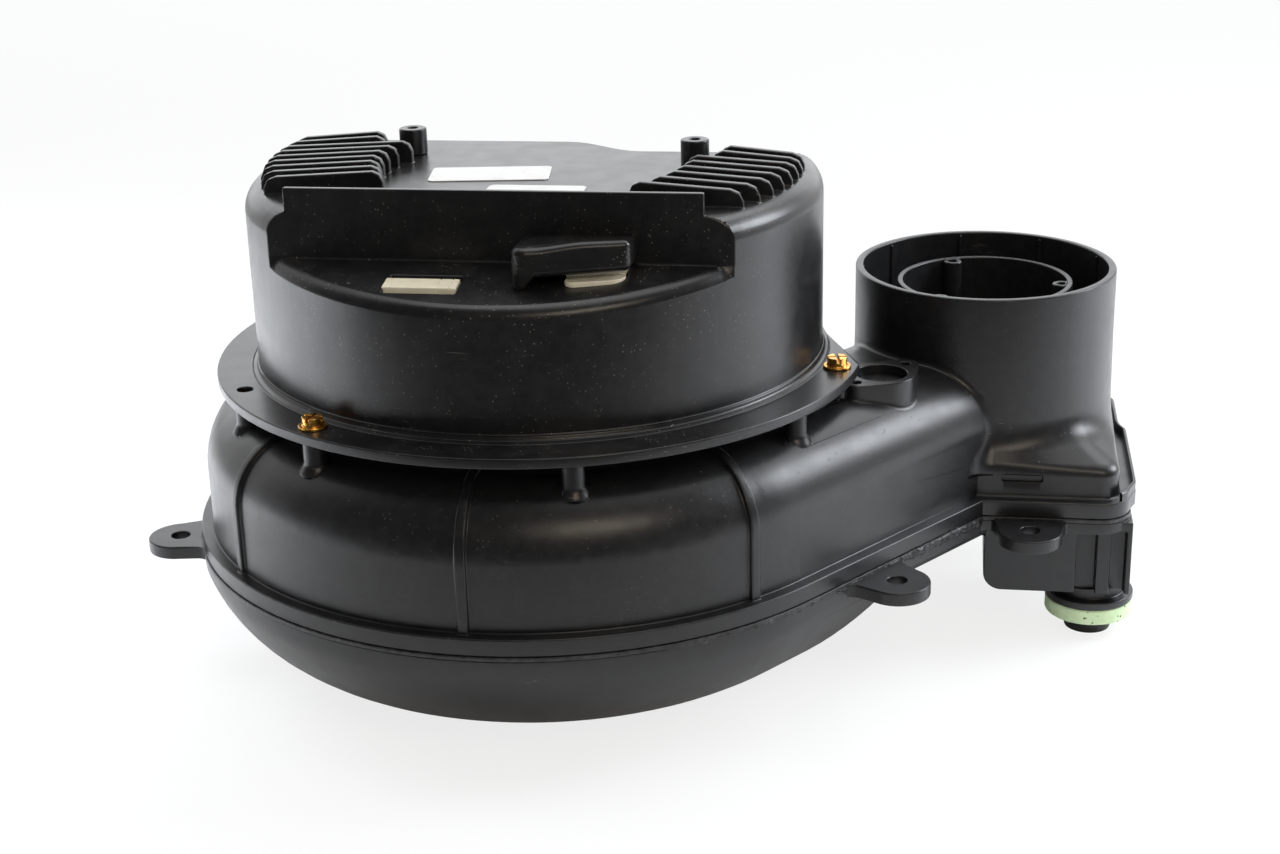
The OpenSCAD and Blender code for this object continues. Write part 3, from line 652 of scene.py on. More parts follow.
def lofted(rings: list[list[Vector]], closed: bool) -> bmesh.types.BMesh:
    """A closed skin over rings of equally many points.

    Args:
        rings: the rings in order, each a loop of points.
        closed: whether the last ring joins the first; otherwise both ends are capped.

    Returns:
        The skin as a working mesh.
    """
    work = bmesh.new()
    loops = [[work.verts.new(point) for point in ring] for ring in rings]
    count = len(rings[0])
    for low, high in zip(loops, loops[1:] + loops[:1] if closed else loops[1:]):
        for i in range(count):
            j = (i + 1) % count
            work.faces.new((low[i], low[j], high[j], high[i]))
    if not closed:
        work.faces.new(loops[0])
        work.faces.new(loops[-1])
    bmesh.ops.recalc_face_normals(work, faces=work.faces)
    return work


def round_off(work: bmesh.types.BMesh, edges: list[bmesh.types.BMEdge], how: Softening) -> None:
    """Rounds the given edges of a working mesh.

    Args:
        work: the mesh.
        edges: the edges that are rounded.
        how: how far and how finely.
    """
    bmesh.ops.bevel(work, geom=edges, offset=how.width, offset_type="OFFSET",
                    segments=how.segments, profile=0.5, affect="EDGES", clamp_overlap=False,
                    loop_slide=True, miter_outer="ARC", miter_inner="SHARP", spread=how.width / 2)


def clean_edges(edges: list[bmesh.types.BMEdge], how: Softening) -> list[bmesh.types.BMEdge]:
    """Keeps the edges whose corners can be rounded without folding over.

    Args:
        edges: the edges that were chosen.
        how: the rounding that they are meant for.

    Returns:
        The edges that stay chosen.
    """
    meeting: dict[bmesh.types.BMVert, list[bmesh.types.BMEdge]] = {}
    for edge in edges:
        for vert in edge.verts:
            meeting.setdefault(vert, []).append(edge)
    folded = set()
    for vert, found in meeting.items():
        arms = [edge.other_vert(vert).co - vert.co for edge in found]
        turns = [a.angle(b) for i, a in enumerate(arms) for b in arms[:i]]
        tight = how.least_turn if len(found) == 2 else how.least_turn / 2
        if len(found) > 3 or (turns and min(turns) < tight):
            folded.add(vert)
    return [edge for edge in edges if not any(vert in folded for vert in edge.verts)]


def soften(work: bmesh.types.BMesh, how: Softening,
           spare: Callable[[bmesh.types.BMEdge], bool] | None = None) -> None:
    """Rounds the sharp edges of a working mesh.

    Args:
        work: the mesh.
        how: how far and how finely.
        spare: tells which edges stay sharp.
    """
    edges = [e for e in work.edges if len(e.link_faces) == 2
             and how.least_angle < e.calc_face_angle() < how.most_angle
             and e.calc_length() > how.least_length and not (spare and spare(e))]
    round_off(work, clean_edges(edges, how), how)


def make_piece(name: str, work: bmesh.types.BMesh, slot: str, *nodes: str) -> bpy.types.Object:
    """Turns a working mesh into a finished piece of the casing.

    Args:
        name: the piece's name.
        work: the working mesh, freed here.
        slot: the material slot that it takes its finish from.
        nodes: the nodes that it stands for.

    Returns:
        The new object.
    """
    mesh = bpy.data.meshes.new(name)
    work.to_mesh(mesh)
    work.free()
    mesh.polygons.foreach_set("use_smooth", [True] * len(mesh.polygons))
    mesh.set_sharp_from_angle(angle=SHARP)
    mesh.materials.append(PAINT.material(slot))
    piece = bpy.data.objects.new(name, mesh)
    bpy.context.scene.collection.objects.link(piece)
    smooth = piece.modifiers.new("even_shading", "WEIGHTED_NORMAL")
    smooth.keep_sharp = True
    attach(piece, Body.CASING.value)
    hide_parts(*nodes)
    log.info("piece %s: %d faces, stands for %s", name, len(mesh.polygons), ", ".join(nodes))
    return piece


def softened_piece(name: str, node: str, slot: str, how: Softening) -> None:
    """Makes a piece that is a node of the casing with its edges rounded.

    Args:
        name: the piece's name.
        node: the node that it stands for.
        slot: the material slot that it takes its finish from.
        how: how its edges are rounded.
    """
    work = node_mesh(node)
    soften(work, how)
    make_piece(name, work, slot, node)


def circle(count: int) -> list[Spot]:
    """Evenly spaced points on a circle of radius 1."""
    turns = [math.tau * k / count for k in range(count)]
    return [(math.cos(turn), math.sin(turn)) for turn in turns]


def eased(value: float, low: float, high: float) -> float:
    """A smooth rise from 0 to 1 between two limits."""
    t = min(max((value - low) / (high - low), 0.0), 1.0)
    return t * t * (3.0 - 2.0 * t)


def curve(start: Sequence[float], middle: Sequence[float], end: Sequence[float],
          steps: int) -> list[tuple[float, ...]]:
    """Draws a smooth curve.

    Args:
        start: where it starts.
        middle: what it bends towards.
        end: where it ends.
        steps: how many steps it takes.

    Returns:
        The points on the curve.
    """
    points = []
    for k in range(steps + 1):
        t = k / steps
        a, b, c = (1 - t) ** 2, 2 * t * (1 - t), t * t
        points.append(tuple(a * p + b * q + c * r for p, q, r in zip(start, middle, end)))
    return points


def cove(path: list[tuple[Vector, Vector, Vector, float]], closed: bool) -> bmesh.types.BMesh:
    """A hollow fillet along the line where two surfaces meet.

    Args:
        path: for each point its place, the outward normals of both surfaces and how far the
            fillet reaches along each of them.
        closed: whether the line runs back to its start.

    Returns:
        The fillet as a closed working mesh.
    """
    rings = []
    for place, first, second, radius in path:
        start = place + (second - first * second.dot(first)).normalized() * radius
        end = place + (first - second * first.dot(second)).normalized() * radius
        root = place - (first + second) * (radius / 4)
        rings.append([root] + [Vector(spot) for spot in curve(start, place, end, 6)])
    return lofted(rings, closed)


def evenly(line: list[Vector], step: float) -> list[Vector]:
    """Spaces points evenly along a line.

    Args:
        line: the corners of the line.
        step: the distance between two points.

    Returns:
        The points from the line's start on.
    """
    points, left = [line[0]], step
    for start, end in zip(line, line[1:]):
        length = (end - start).length
        while left <= length:
            points.append(start.lerp(end, left / length))
            left += step
        left -= length
    return points


def runs_of(edges: list[bmesh.types.BMEdge]) -> list[list[Vector]]:
    """Strings edges together.

    Args:
        edges: the edges in any order.

    Returns:
        The points of each unbroken run of edges, in order.
    """
    joined: dict[bmesh.types.BMVert, list[bmesh.types.BMVert]] = {}
    for edge in edges:
        for vert in edge.verts:
            joined.setdefault(vert, []).append(edge.other_vert(vert))
    runs: list[list[Vector]] = []
    seen: set[bmesh.types.BMVert] = set()
    for start in sorted(joined, key=lambda v: len(joined[v])):
        if start in seen:
            continue
        run, vert = [], start
        while vert is not None:
            seen.add(vert)
            run.append(vert.co.copy())
            vert = next((v for v in joined[vert] if v not in seen), None)
        runs.append(run)
    return runs


# sub-assemblies


@dataclass(frozen=True)
class Ring:
    """One level of the outlet, in millimetres: a circle, the box outline or a blend of them."""

    height: float
    boxed: float
    radius: float = 40.0
    grow: float = 0.0


@dataclass
class Outlet:
    """The outlet's box, sloped shoulder and pipe, drawn as one smooth moulding (millimetres)."""

    axis: Spot = (130.616, 51.329)
    half: Spot = (41.4, 44.3)
    corner: float = 6.0
    corner_steps: int = 8
    side_steps: int = 20
    wall: float = 2.8
    pipe_radius: float = 40.0
    pipe_bore: float = 37.6
    pipe_top: float = 101.0
    pipe_draft: float = 0.5
    draft_ends: Spot = (50.0, 80.0)
    flange_low: float = 36.0
    flange_top: float = 41.0
    flange_out: float = 3.5
    flange_chamfer: float = 0.4
    bulge: float = 2.0
    bulge_ends: Spot = (-35.3, 12.7)
    bulge_ease: Spot = (5.0, 2.0)
    bulge_corner: float = 4.0
    # points of a rounded edge: how far below its top and inside its face
    edge_round: tuple[Spot, ...] = ((0.5, 0.0), (0.15, 0.15), (0.0, 0.5))
    # points of the fillet on the flange: height over it and distance from the box
    foot_fillet: tuple[Spot, ...] = ((0.0, 1.1), (0.2, 0.45), (0.6, 0.1), (1.2, 0.0))
    # levels of the inside: height and share of the box outline
    inside: tuple[Spot, ...] = ((62.0, 0.0), (57.0, 0.15), (52.0, 0.7), (48.5, 1.0))
    # section of the rim on the flange: distance from the flange's edge and height over it
    rim_section: tuple[Spot, ...] = ((1.2, -0.3), (1.2, 2.3), (0.95, 2.6), (0.4, 2.6),
                                     (0.15, 2.3), (0.15, -0.3))
    box_edge: float = 50.3
    box_round: float = 2.6
    shoulder: float = 57.4
    shoulder_boxed: Spot = (0.8, 0.42)
    shoulder_cove: float = 6.0
    duct_sides: Spot = (42.8, 98.2)
    duct_top: float = 76.2
    duct_round: float = 16.2
    duct_ends: Spot = (50.0, 116.0)
    slot_middle: Place = (143.166, 7.029, 47.0)
    slot_size: Place = (12.3, 2.4, 2.2)
    slot_round: float = 0.5
    crush_turns: tuple[int, ...] = tuple(range(22, 382, 40))
    # levels of a crush rib: height and radius
    crush_levels: tuple[Spot, ...] = ((85.0, 0.3), (86.0, 0.75), (99.6, 0.75), (100.1, 0.3))
    crush_out: float = 0.1

    def outline(self, grow: float) -> list[Spot]:
        """Draws the box outline about the axis.

        Args:
            grow: how far it is grown outwards.

        Returns:
            Its points, anticlockwise from the right side.
        """
        radius = self.corner + grow
        points: list[Spot] = []
        for turn, (side, end) in enumerate(((1, 1), (-1, 1), (-1, -1), (1, -1))):
            middle = (side * (self.half[0] - self.corner), end * (self.half[1] - self.corner))
            for k in range(self.corner_steps + 1):
                angle = QUARTER * (turn + k / self.corner_steps)
                points.append((middle[0] + radius * math.cos(angle),
                               middle[1] + radius * math.sin(angle)))
            along = (-math.sin(angle), math.cos(angle))
            length = 2 * (self.half[turn % 2] - self.corner)
            start = points[-1]
            for k in range(1, self.side_steps):
                reach = length * k / self.side_steps
                points.append((start[0] + along[0] * reach, start[1] + along[1] * reach))
        return points

    def swollen(self, point: Spot) -> Spot:
        """Moves a flange point out where the right side of the flange is wider.

        Args:
            point: the point about the axis.

        Returns:
            The moved point.
        """
        x, y = point
        (low, high), (before, after) = self.bulge_ends, self.bulge_ease
        share = eased(y, low - before, low + after) * (1 - eased(y, high - after, high + before))
        right = eased(x, self.half[0] - self.bulge_corner, self.half[0])
        return (x + self.bulge * share * right, y)

    def points(self, ring: Ring) -> list[Vector]:
        """Places one level in the frame.

        Args:
            ring: the level.

        Returns:
            Its points in metres.
        """
        loop = []
        for plain, grown in zip(self.outline(0.0), self.outline(ring.grow)):
            angle = math.atan2(plain[1], plain[0])
            if ring.grow > self.flange_out / 2:
                grown = self.swollen(grown)
            x = (1 - ring.boxed) * ring.radius * math.cos(angle) + ring.boxed * grown[0]
            y = (1 - ring.boxed) * ring.radius * math.sin(angle) + ring.boxed * grown[1]
            loop.append(Vector((self.axis[0] + x, self.axis[1] + y, ring.height)) * MM)
        return loop

    def body_rings(self) -> list[Ring]:
        """Lists the levels of the outside above the flange.

        Returns:
            The levels from the box's upper edge over the shoulder to the pipe.
        """
        rise = self.shoulder - self.box_edge
        low, high = ((boxed, self.box_edge + rise * (1 - boxed)) for boxed in self.shoulder_boxed)
        edge = curve((1.0, self.box_edge - self.box_round), (1.0, self.box_edge), low, 6)
        hollow = curve(high, (0.0, self.shoulder), (0.0, self.shoulder + self.shoulder_cove), 11)
        bottom, top = self.draft_ends
        rings = []
        for boxed, height in edge + hollow:
            draft = self.pipe_draft * (top - height) / (top - bottom)
            rings.append(Ring(height, boxed, self.pipe_radius + draft))
        return rings + [Ring(top, 0.0, self.pipe_radius)]

    def shell(self) -> bmesh.types.BMesh:
        """Makes the wall of the outlet from the joint to the rim.

        Returns:
            The wall, hollow and closed.
        """
        low, top, out = self.flange_low, self.flange_top, self.flange_out
        rim, wide, bore = self.pipe_top, self.pipe_radius, self.pipe_bore
        rings = [Ring(low, 1.0, grow=out - self.flange_chamfer),
                 Ring(low + self.flange_chamfer, 1.0, grow=out)]
        rings += [Ring(top - down, 1.0, grow=out - inset) for down, inset in self.edge_round]
        rings += [Ring(top + up, 1.0, grow=away) for up, away in self.foot_fillet]
        rings += self.body_rings()
        rings += [Ring(rim - down, 0.0, wide - inset) for down, inset in self.edge_round]
        rings += [Ring(rim - down, 0.0, bore + inset) for down, inset in reversed(self.edge_round)]
        rings += [Ring(height, boxed, bore, -self.wall) for height, boxed in self.inside]
        rings.append(Ring(low, 1.0, grow=-self.wall))
        return lofted([self.points(ring) for ring in rings], True)

    def block(self) -> bmesh.types.BMesh:
        """Fills the outlet's outside.

        Returns:
            The outlet as one filled solid.
        """
        rings = [Ring(self.flange_low - 0.5, 1.0, grow=self.flange_out),
                 Ring(self.flange_top, 1.0, grow=self.flange_out),
                 Ring(self.flange_top + 0.01, 1.0)]
        rings += self.body_rings()
        rings.append(Ring(self.pipe_top + 1.0, 0.0, self.pipe_radius))
        return lofted([self.points(ring) for ring in rings], False)

    def duct_space(self) -> bmesh.types.BMesh:
        """Draws the duct's air space.

        Returns:
            The air space where the duct opens into the box.
        """
        low, high = self.duct_sides
        profile = [(low, self.flange_low - 2), (high, self.flange_low - 2)]
        for middle, turn in ((high - self.duct_round, 0), (low + self.duct_round, 1)):
            for k in range(9):
                angle = QUARTER * (turn + k / 8)
                profile.append((middle + self.duct_round * math.cos(angle),
                                self.duct_top - self.duct_round * (1 - math.sin(angle))))
        return lofted([[DUCT_TURN @ Vector((across, along, height)) * MM
                        for across, height in profile] for along in self.duct_ends], False)

    def slot(self) -> bmesh.types.BMesh:
        """Draws the shallow slot in the box's front.

        Returns:
            What is cut out for the slot, with rounded ends.
        """
        work = bmesh.new()
        bmesh.ops.create_cube(work, size=1.0)
        bmesh.ops.scale(work, vec=Vector(self.slot_size) * MM, verts=work.verts)
        bmesh.ops.translate(work, vec=Vector(self.slot_middle) * MM, verts=work.verts)
        bmesh.ops.bevel(work, geom=work.edges[:], offset=self.slot_round * MM, segments=3,
                        profile=0.5, affect="EDGES", offset_type="OFFSET")
        return work

    def rim(self) -> bmesh.types.BMesh:
        """Makes the thin rim on the flange.

        Returns:
            The rim along the flange's right edge.
        """
        loops = [self.points(Ring(self.flange_top + up, 1.0, grow=self.flange_out - inset))
                 for inset, up in self.rim_section]
        half = self.corner_steps // 2
        count = len(loops[0])
        first = 3 * (self.corner_steps + self.side_steps) + half
        path = [k % count for k in range(first, count + half + 1)]
        return lofted([[loop[k] for loop in loops] for k in path], False)

    def crush_rib(self, turn: int) -> bmesh.types.BMesh:
        """Makes a thin upright rib inside the pipe.

        Args:
            turn: where it stands about the pipe's axis, in degrees.

        Returns:
            The rib.
        """
        angle, reach = math.radians(turn), self.pipe_bore + self.crush_out
        x = self.axis[0] + reach * math.cos(angle)
        y = self.axis[1] + reach * math.sin(angle)
        return lofted([[Vector((x + radius * c, y + radius * s, height)) * MM for c, s in circle(10)]
                       for height, radius in self.crush_levels], False)

    def dressed_shell(self) -> bmesh.types.BMesh:
        """Finishes the outlet's wall.

        Returns:
            The wall with its passage, slot, rim and crush ribs.
        """
        work = carve(self.shell(), self.duct_space(), Carve.REMOVE)
        work = carve(work, self.slot(), Carve.REMOVE)
        add_mesh(work, self.rim())
        for turn in self.crush_turns:
            add_mesh(work, self.crush_rib(turn))
        return work


@dataclass
class Duct:
    """The straight duct of the upper half (millimetres), in its own across and along sizes."""

    outside: float = 101.0
    top: float = 79.0
    shoulder: float = 19.0
    joint: float = 76.3
    stub: float = 42.0
    skin_from: float = 60.0

    def place(self, across: float, along: float, height: float) -> Vector:
        """A point of the duct in the frame, in metres."""
        return DUCT_TURN @ Vector((across, along, height)) * MM

    def ahead(self) -> Vector:
        """The direction of the air in the duct."""
        return DUCT_TURN @ Vector((0.0, 1.0, 0.0))

    def skin(self, across: float) -> tuple[float, Vector]:
        """Finds the outer skin of the duct.

        Args:
            across: the place across the duct.

        Returns:
            The skin's height there, and its normal in the frame.
        """
        over = max(across - (self.outside - self.shoulder), 0.0)
        rise = math.sqrt(max(self.shoulder ** 2 - over ** 2, 0.0))
        lean = over / self.shoulder
        normal = DUCT_TURN @ Vector((lean, 0.0, math.sqrt(max(1.0 - lean * lean, 0.0))))
        return self.top - self.shoulder + rise, normal

    def lengthen(self, work: bmesh.types.BMesh) -> None:
        """Draws the open end of the duct on into the outlet.

        Args:
            work: the upper half.
        """
        ahead = self.ahead()
        ends = [f for f in work.faces if f.normal.dot(ahead) > 0.99
                and all(abs(v.co.dot(ahead) - self.joint * MM) < 0.02 * MM for v in f.verts)]
        grown = bmesh.ops.extrude_face_region(work, geom=ends)
        moved = [part for part in grown["geom"] if isinstance(part, bmesh.types.BMVert)]
        bmesh.ops.translate(work, vec=ahead * (self.stub * MM), verts=moved)
        inside = [f for f in ends if f.is_valid]
        bmesh.ops.delete(work, geom=inside, context="FACES")
        log.info("duct drawn on from %d faces", len(ends))

    def even_out(self, piece: bpy.types.Object) -> None:
        """Shades the duct's top and shoulder as the smooth surface that they are.

        Args:
            piece: the finished upper half.
        """
        mesh = piece.data
        on_skin: dict[int, Vector] = {}
        for vert in mesh.vertices:
            across, along, height = DUCT_TURN.transposed() @ vert.co / MM
            if 0.0 < along < self.joint + self.stub and self.skin_from < across < self.outside - 0.5:
                level, normal = self.skin(across)
                if abs(height - level) < 0.03:
                    on_skin[vert.index] = normal
        normals = [Vector(corner.vector) for corner in mesh.corner_normals]
        for face in mesh.polygons:
            for corner, vert in zip(face.loop_indices, face.vertices):
                if vert in on_skin:
                    smooth = on_skin[vert]
                    normals[corner] = smooth if face.normal.dot(smooth) > 0.9 else face.normal
        mesh.normals_split_custom_set(normals)
        group = piece.vertex_groups.new(name="duct_skin")
        group.add(list(on_skin), 1.0, "REPLACE")
        shading = piece.modifiers["even_shading"]
        shading.vertex_group = group.name
        shading.invert_vertex_group = True


@dataclass
class SensorPort:
    """The oval flange on the duct (millimetres), with a bore and two screw holes."""

    across: float = 84.0
    along: float = 56.3
    top: float = 83.06
    radius: float = 9.95
    lobe: float = 3.85
    reach: float = 11.4
    bore: float = 7.53
    screw_hole: float = 1.43
    soft: float = 0.45
    root: float = 1.3
    fillet: float = 1.0
    # levels of a hole: how much wider than its bore and how far below the top
    hole_levels: tuple[Spot, ...] = ((0.0, 3.0), (0.0, 0.4), (0.12, 0.12), (0.5, -0.1))
    near_radius: float = 16.5
    near_height: float = 72.0

    def outline(self, inset: float) -> list[tuple[Spot, Spot]]:
        """Draws the oval.

        Args:
            inset: how far it is drawn in.

        Returns:
            Its points and outward normals, in across and along.
        """
        lean = math.asin((self.radius - self.lobe) / self.reach)
        points = []
        for start, end, middle, radius in (
                (-lean, lean, 0.0, self.radius), (lean, math.pi - lean, self.reach, self.lobe),
                (math.pi - lean, math.pi + lean, 0.0, self.radius),
                (math.pi + lean, math.tau - lean, -self.reach, self.lobe)):
            for k in range(13):
                angle = start + (end - start) * k / 12
                normal = (math.cos(angle), math.sin(angle))
                points.append((((radius - inset) * normal[0] + self.across,
                                middle + (radius - inset) * normal[1] + self.along), normal))
        return points

    def collar(self, duct: Duct) -> bmesh.types.BMesh:
        """Makes the oval body.

        Args:
            duct: the duct that it stands on.

        Returns:
            The body, from inside the duct's wall up to its rounded edge.
        """
        rings = [[duct.place(*spot, duct.skin(spot[0])[0] - self.root)
                  for spot, _ in self.outline(0.0)]]
        for inset, down in ((0.0, self.soft), (self.soft * 0.29, self.soft * 0.29),
                            (self.soft, 0.0)):
            rings.append([duct.place(*spot, self.top - down) for spot, _ in self.outline(inset)])
        work = lofted(rings, False)
        bmesh.ops.remove_doubles(work, verts=work.verts, dist=WELD)
        return work

    def holes(self, duct: Duct) -> list[bmesh.types.BMesh]:
        """Draws the bore and the two screw holes.

        Args:
            duct: the duct that the port stands on.

        Returns:
            What is cut out for each, with a rounded rim.
        """
        made = []
        for radius, along in ((self.bore, 0.0), (self.screw_hole, self.reach),
                              (self.screw_hole, -self.reach)):
            made.append(lofted([[duct.place(self.across + (radius + wider) * c,
                                            self.along + along + (radius + wider) * s,
                                            self.top - down) for c, s in circle(48)]
                                for wider, down in self.hole_levels], False))
        return made

    def foot(self, duct: Duct) -> bmesh.types.BMesh:
        """Makes the small fillet around the oval's foot.

        Args:
            duct: the duct that the oval stands on.

        Returns:
            The fillet.
        """
        path = []
        for spot, normal in self.outline(0.0):
            height, skin = duct.skin(spot[0])
            path.append((duct.place(*spot, height), skin, DUCT_TURN @ Vector((*normal, 0.0)),
                         self.fillet * MM))
        return cove(path, True)

    def near(self, duct: Duct, point: Vector) -> bool:
        """Tells whether a point lies on the port.

        Args:
            duct: the duct that the port stands on.
            point: the point in the frame, in metres.

        Returns:
            Whether it does.
        """
        middle = duct.place(self.across, self.along, 0.0)
        away = (point.xy - middle.xy).length
        return away < self.near_radius * MM and point.z > self.near_height * MM


@dataclass
class Casing:
    """The two casing halves, the weld bead between them and the drain seal.

    The seam and its flash are in millimetres.
    """

    softening: Softening = Softening()
    bead_softening: Softening = Softening(0.25 * MM)
    seal_softening: Softening = Softening(0.9 * MM, 4)
    outlet: Outlet = field(default_factory=Outlet)
    duct: Duct = field(default_factory=Duct)
    port: SensorPort = field(default_factory=SensorPort)
    near: float = 0.05 * MM
    junction_fillets: Spot = (4.6 * MM, 1.8 * MM)
    junction_rise: Spot = (48.0 * MM, 60.0 * MM)
    junction_step: float = 0.9 * MM
    seam_height: float = 34.8
    seam_radius: float = 104.5
    flash_from: float = math.radians(-66.0)
    duct_length: float = 78.0
    flash_step: float = 0.6
    flash_size: float = 0.45
    flash_rough: float = 0.5
    flash_more: float = 0.6
    flash_rise: Spot = (25.0, 50.0)
    flash_start: Spot = (0.0, 30.0)

    def upper(self) -> None:
        """The scroll and the duct from the frame, with the port and the outlet drawn smooth."""
        work = raw_mesh("volute_upper")
        self.duct.lengthen(work)
        work = carve(work, self.port.collar(self.duct), Carve.JOIN)
        for hole in self.port.holes(self.duct):
            work = carve(work, hole, Carve.REMOVE)
        skin = BVHTree.FromBMesh(work)
        block = self.outlet.block()
        tree = BVHTree.FromBMesh(block)
        work = carve(work, block, Carve.REMOVE)
        tidy(work)

        def kept_sharp(edge: bmesh.types.BMEdge) -> bool:
            """Tells whether an edge lies on the outlet's surface or on the port."""
            return all(tree.find_nearest(v.co)[3] < self.near or self.port.near(self.duct, v.co)
                       for v in edge.verts)

        junction = self.junction(work, skin, tree)
        soften(work, self.softening, kept_sharp)
        for extra in (junction, self.port.foot(self.duct), self.outlet.dressed_shell()):
            add_mesh(work, extra)
        piece = make_piece("casing_upper", work, "casing_black", "volute_upper", "outlet_box")
        self.duct.even_out(piece)

    def junction(self, work: bmesh.types.BMesh, skin: BVHTree, tree: BVHTree) -> bmesh.types.BMesh:
        """The fillet where the outside of the duct runs into the outlet.

        Args:
            work: the upper half, cut off at the outlet.
            skin: the surface of the upper half before the cut.
            tree: the surface of the outlet.

        Returns:
            The fillet.
        """
        low = self.outlet.flange_top * MM + 2 * self.near
        space = self.outlet.duct_space()
        air = BVHTree.FromBMesh(space)
        space.free()
        on_cut = {v for v in work.verts if v.co.z > low
                  and tree.find_nearest(v.co)[3] < self.near
                  and skin.find_nearest(v.co)[3] < self.near
                  and air.find_nearest(v.co)[3] > self.outlet.wall * MM / 2}
        edges = [e for e in work.edges if all(v in on_cut for v in e.verts)
                 and e.calc_face_angle(0.0) > self.softening.least_angle]
        longest = max(runs_of(edges),
                      key=lambda run: sum((b - a).length for a, b in zip(run, run[1:])))
        if longest[0].x < longest[-1].x:
            longest.reverse()
        path = []
        for point in evenly(longest, self.junction_step):
            high = eased(point.z, *self.junction_rise)
            reach = self.junction_fillets[0] * (1 - high) + self.junction_fillets[1] * high
            path.append((point, skin.find_nearest(point)[1], tree.find_nearest(point)[1], reach))
        return cove(path, False)

    def flash(self) -> bmesh.types.BMesh:
        """Makes the ragged flash along the weld.

        Returns:
            The flash, from the front of the scroll to the box.
        """
        ahead = self.duct.ahead()
        turn = math.atan2(ahead.y, ahead.x) - QUARTER
        arc = self.seam_radius * (turn - self.flash_from)
        rings = []
        for k in range(int((arc + self.duct_length) / self.flash_step)):
            reach = k * self.flash_step - arc
            angle = turn + min(reach, 0.0) / self.seam_radius
            out = Vector((math.cos(angle), math.sin(angle), 0.0))
            place = out * self.seam_radius + ahead * max(reach, 0.0)
            rough = noise.noise(Vector((k * 0.37, 0.0, 0.0)))
            lump = noise.noise(Vector((k * 0.11, 7.0, 0.0)))
            size = self.flash_size + self.flash_rough * max(0.0, 0.3 + rough)
            size += self.flash_more * eased(reach, *self.flash_rise)
            size *= eased(k, *self.flash_start)
            place += out * 0.3 * lump + Vector((0.0, 0.0, self.seam_height + 0.45 * lump))
            ring = []
            for i, (c, s) in enumerate(circle(10)):
                puff = size * (1.0 + 0.75 * noise.noise(Vector((k * 0.55, i * 1.9, 3.0))))
                ring.append((place + out * (puff * 0.75 * c) + Vector((0.0, 0.0, puff * s))) * MM)
            rings.append(ring)
        return lofted(rings, False)

    def build(self) -> None:
        """Makes every piece of the casing."""
        self.upper()
        softened_piece("casing_lower", "volute_lower", "casing_black", self.softening)
        softened_piece("outlet_inner_sleeve", "outlet_sleeve", "casing_black", self.softening)
        work = node_mesh("seam_bead")
        soften(work, self.bead_softening)
        add_mesh(work, self.flash())
        make_piece("weld_bead", work, "bead_black", "seam_bead")
        softened_piece("drain_ring", "drain_seal", "seal_green", self.seal_softening)


@dataclass(frozen=True)
class Recess:
    """The recess for the connectors (millimetres): its back wall and its sloping floor."""

    wall: float = -53.8
    floor_back: float = 128.5
    floor_front: float = 123.8
    slope: float = 4.0 / 27.0

    def floor(self, y: float) -> float:
        """Height of the floor."""
        return self.floor_back + self.slope * (y - self.wall)


RECESS = Recess()


